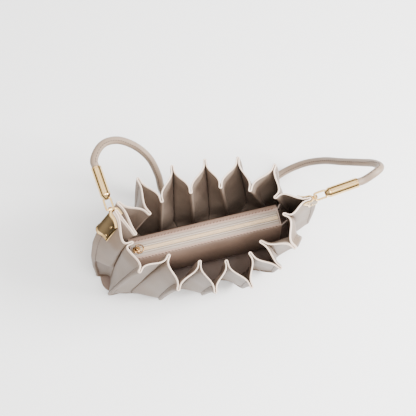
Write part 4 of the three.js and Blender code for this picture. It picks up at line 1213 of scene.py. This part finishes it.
def yoke(facts):
    """A closed rectangle with round corners, swept by a squared bar."""
    half = np.array([(nose_start + YOKE_BAR / 2) / 2, YOKE_WIDTH / 2 - YOKE_BAR / 2])
    outline = ring_section(half[0], half[1], 64, 7)
    across = np.cross([0.0, 0.0, 1.0], facts["pointing"])
    path = facts["centre"] + (outline[:, :1] + half[0]) * facts["pointing"] + outline[:, 1:] * across
    return sweep(path, ring_section(YOKE_BAR_WIDE / 2, YOKE_BAR / 2, 16, 5), closed=True)


def groove(start):
    """The part of the tube's profile that is a fine groove: down a slope, along its floor and up again."""
    floor_start = start + GROOVE_SLOPE
    floor_end = floor_start + GROOVE_FLOOR
    return [
        [TUBE_RADIUS, start],
        [TUBE_RADIUS - GROOVE_DEPTH, floor_start],
        [TUBE_RADIUS - GROOVE_DEPTH, floor_end],
        [TUBE_RADIUS, floor_end + GROOVE_SLOPE],
    ]


def tube(facts):
    """The tube's profile, turned: a tapered nose, fine grooves behind it and before the mouth, and the
    bore that takes the strap."""
    bore = STRAP_RADIUS + SEAM_GAP
    profile = [
        [0.05, nose_start],
        [TUBE_NOSE - 0.5, nose_start],
        [TUBE_NOSE, nose_start + 0.5],
        [TUBE_NOSE + 0.9, nose_start + 1.9],
        [TUBE_RADIUS - 0.6, tube_start - 0.6],
        [TUBE_RADIUS, tube_start + 0.5],
        *groove(tube_start + 1.6),
        *groove(tube_end - 3.4),
        [TUBE_RADIUS, tube_end - 0.4],
        [TUBE_RADIUS - 0.4, tube_end],
        [bore, tube_end],
        [bore, tube_end - TUBE_SOCKET],
        [0.05, tube_end - TUBE_SOCKET],
    ]
    return lathe(profile, facts["centre"], facts["pointing"], 48)


for end in ENDS:
    facts = end_facts(end)
    tube_body = joined(yoke(facts), tube(facts))
    tube_piece = new_piece(f"{end['side']}_tube_polished", *tube_body, [pale_gold], sharp=35)
    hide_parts(f"{end['side']}_tube")

# Strap. Greige leather rolled round a core and closed by one overlapped seam, sewn along its whole
# length. Its ends sit in the tubes, it rises in a loop at each end, and its middle lies on the ground.
STRAP_STRAIGHT = 9.0
STRAP_SIDES = 40
STRAP_STATIONS = 420
STRAP_SHRINK = 0.15
SEAM_ANGLE = 62.0
SEAM_RISE = 0.55
SEAM_SPREAD = 17.0
SEAM_FADE, SEAM_VALLEY = 3.0, 0.05
STRAP_STITCH_PITCH = 4.6
STRAP_STITCH_LENGTH = 2.8
STRAP_STITCH_RADIUS = 0.6
STRAP_STITCH_SINK = 0.2
STRAP_SEAM_START, STRAP_SEAM_END = 6.0, 5.0
# Places the strap passes through: x and y as shares of the foot's half length and the mouth's half depth,
# and its rise as a share of the way from lying on the ground to the height of the left knuckle.
STRAP_ROUTE = [
    dict(x=-0.73, y=1.53, rise=0.985),
    dict(x=-0.655, y=1.655, rise=0.93),
    dict(x=-0.542, y=1.705, rise=0.84),
    dict(x=-0.409, y=1.64, rise=0.7),
    dict(x=-0.305, y=1.5, rise=0.52),
    dict(x=-0.255, y=1.31, rise=0.32),
    dict(x=-0.24, y=1.145, rise=0.13),
    dict(x=-0.19, y=1.0, rise=0.02),
    dict(x=-0.05, y=0.9, rise=0.0),
    dict(x=0.2, y=0.86, rise=0.0),
    dict(x=0.5, y=0.86, rise=0.0),
    dict(x=0.74, y=0.93, rise=0.01),
    dict(x=0.92, y=1.03, rise=0.05),
    dict(x=1.08, y=1.03, rise=0.16),
    dict(x=1.22, y=0.92, rise=0.33),
    dict(x=1.33, y=0.74, rise=0.52),
    dict(x=1.44, y=0.56, rise=0.72),
    dict(x=1.505, y=0.42, rise=0.88),
    dict(x=1.51, y=0.29, rise=0.99),
    dict(x=1.445, y=0.21, rise=1.035),
]


def through(points, count):
    """A smooth curve through points, at equal steps of its length. Each stretch is a cubic whose end
    slopes follow from the neighbouring points, weighted by the square root of their distances."""
    ends = np.vstack([2 * points[0] - points[1], points, 2 * points[-1] - points[-2]])
    gaps = np.sqrt(np.linalg.norm(np.diff(ends, axis=0), axis=1))[:, None]
    before, here, after = gaps[:-2], gaps[1:-1], gaps[2:]
    p0, p1, p2, p3 = ends[:-3], ends[1:-2], ends[2:-1], ends[3:]
    slope1 = ((p1 - p0) / before - (p2 - p0) / (before + here) + (p2 - p1) / here) * here
    slope2 = ((p2 - p1) / here - (p3 - p1) / (here + after) + (p3 - p2) / after) * here
    t = np.linspace(0, 1, 40, endpoint=False)[None, :, None]
    a, b, c, d = (value[:, None] for value in (p1, slope1, slope2, p2))
    curve = (
        a * (2 * t**3 - 3 * t**2 + 1)
        + b * (t**3 - 2 * t**2 + t)
        + c * (t**3 - t**2)
        + d * (3 * t**2 - 2 * t**3)
    )
    curve = np.vstack([curve.reshape(-1, 3), points[-1:]])
    lengths = np.concatenate([[0], np.cumsum(np.linalg.norm(np.diff(curve, axis=0), axis=1))])
    wanted = np.linspace(0, lengths[-1], count)
    return np.column_stack([np.interp(wanted, lengths, axis) for axis in curve.T]), wanted


def strap_path():
    """The strap's middle line from the left bore round the back to the right one."""
    left, right_end = (end_facts(end) for end in ENDS)
    lying = STRAP_RADIUS + 2 * SEAM_GAP
    free = np.array(
        [
            [
                point["x"] * FOOT_HALVES[0],
                point["y"] * MOUTH_HALVES[1],
                lying + point["rise"] * (left["centre"][2] - lying),
            ]
            for point in STRAP_ROUTE
        ]
    )
    in_bore = tube_end - TUBE_SOCKET + SEAM_GAP
    distances = np.array([in_bore, tube_end, tube_end + STRAP_STRAIGHT])[:, None]
    start = left["centre"] + distances * left["pointing"]
    finish = right_end["centre"] + distances[::-1] * right_end["pointing"]
    return through(np.vstack([start, free, finish]), STRAP_STATIONS)


path, path_lengths = strap_path()
strap_angle = np.arange(STRAP_SIDES) * 2 * np.pi / STRAP_SIDES
from_seam = (np.degrees(strap_angle) - SEAM_ANGLE + 180) % 360 - 180
strap_total = path_lengths[-1]
from_end = np.minimum(path_lengths, strap_total - path_lengths)
free_share = np.clip((from_end - TUBE_SOCKET) / SEAM_FADE, 0, 1)
ridge = SEAM_RISE * np.exp(-((from_seam / SEAM_SPREAD) ** 2))
strap_radius = (STRAP_RADIUS - STRAP_SHRINK) + free_share[:, None] * (ridge - SEAM_VALLEY)[None]
strap_section = strap_radius[..., None] * np.stack([np.cos(strap_angle), np.sin(strap_angle)], axis=-1)
strap_leather = leather("strap_leather", (146, 126, 108), (130, 111, 95), 0.48, 0.05)
strap = new_piece("strap_leather_roll", *sweep(path, strap_section), [strap_leather])
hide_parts("strap")

stitch_at = np.arange(
    TUBE_SOCKET + STRAP_SEAM_START, strap_total - TUBE_SOCKET - STRAP_SEAM_END, STRAP_STITCH_PITCH
)
path_way = unit(np.gradient(path, axis=0))
path_side = unit(np.cross(path_way, [0.0, 0.0, 1.0]))
path_top = np.cross(path_side, path_way)
seam_out = path_side * np.cos(np.radians(SEAM_ANGLE)) + path_top * np.sin(np.radians(SEAM_ANGLE))
seam_line = path + seam_out * (STRAP_RADIUS + SEAM_RISE - STRAP_STITCH_SINK)
strap_middles, strap_ways, strap_outs = (
    np.column_stack([np.interp(stitch_at, path_lengths, axis) for axis in values.T])
    for values in (seam_line, path_way, seam_out)
)
seam_thread = thread("seam_thread", (92, 74, 60))
strap_stitches = stitches(
    "strap_stitches",
    strap_middles,
    unit(strap_ways),
    unit(strap_outs),
    STRAP_STITCH_LENGTH,
    STRAP_STITCH_RADIUS,
    seam_thread,
)

# Sizes: the box of what is shown, without the floor.
low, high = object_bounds()
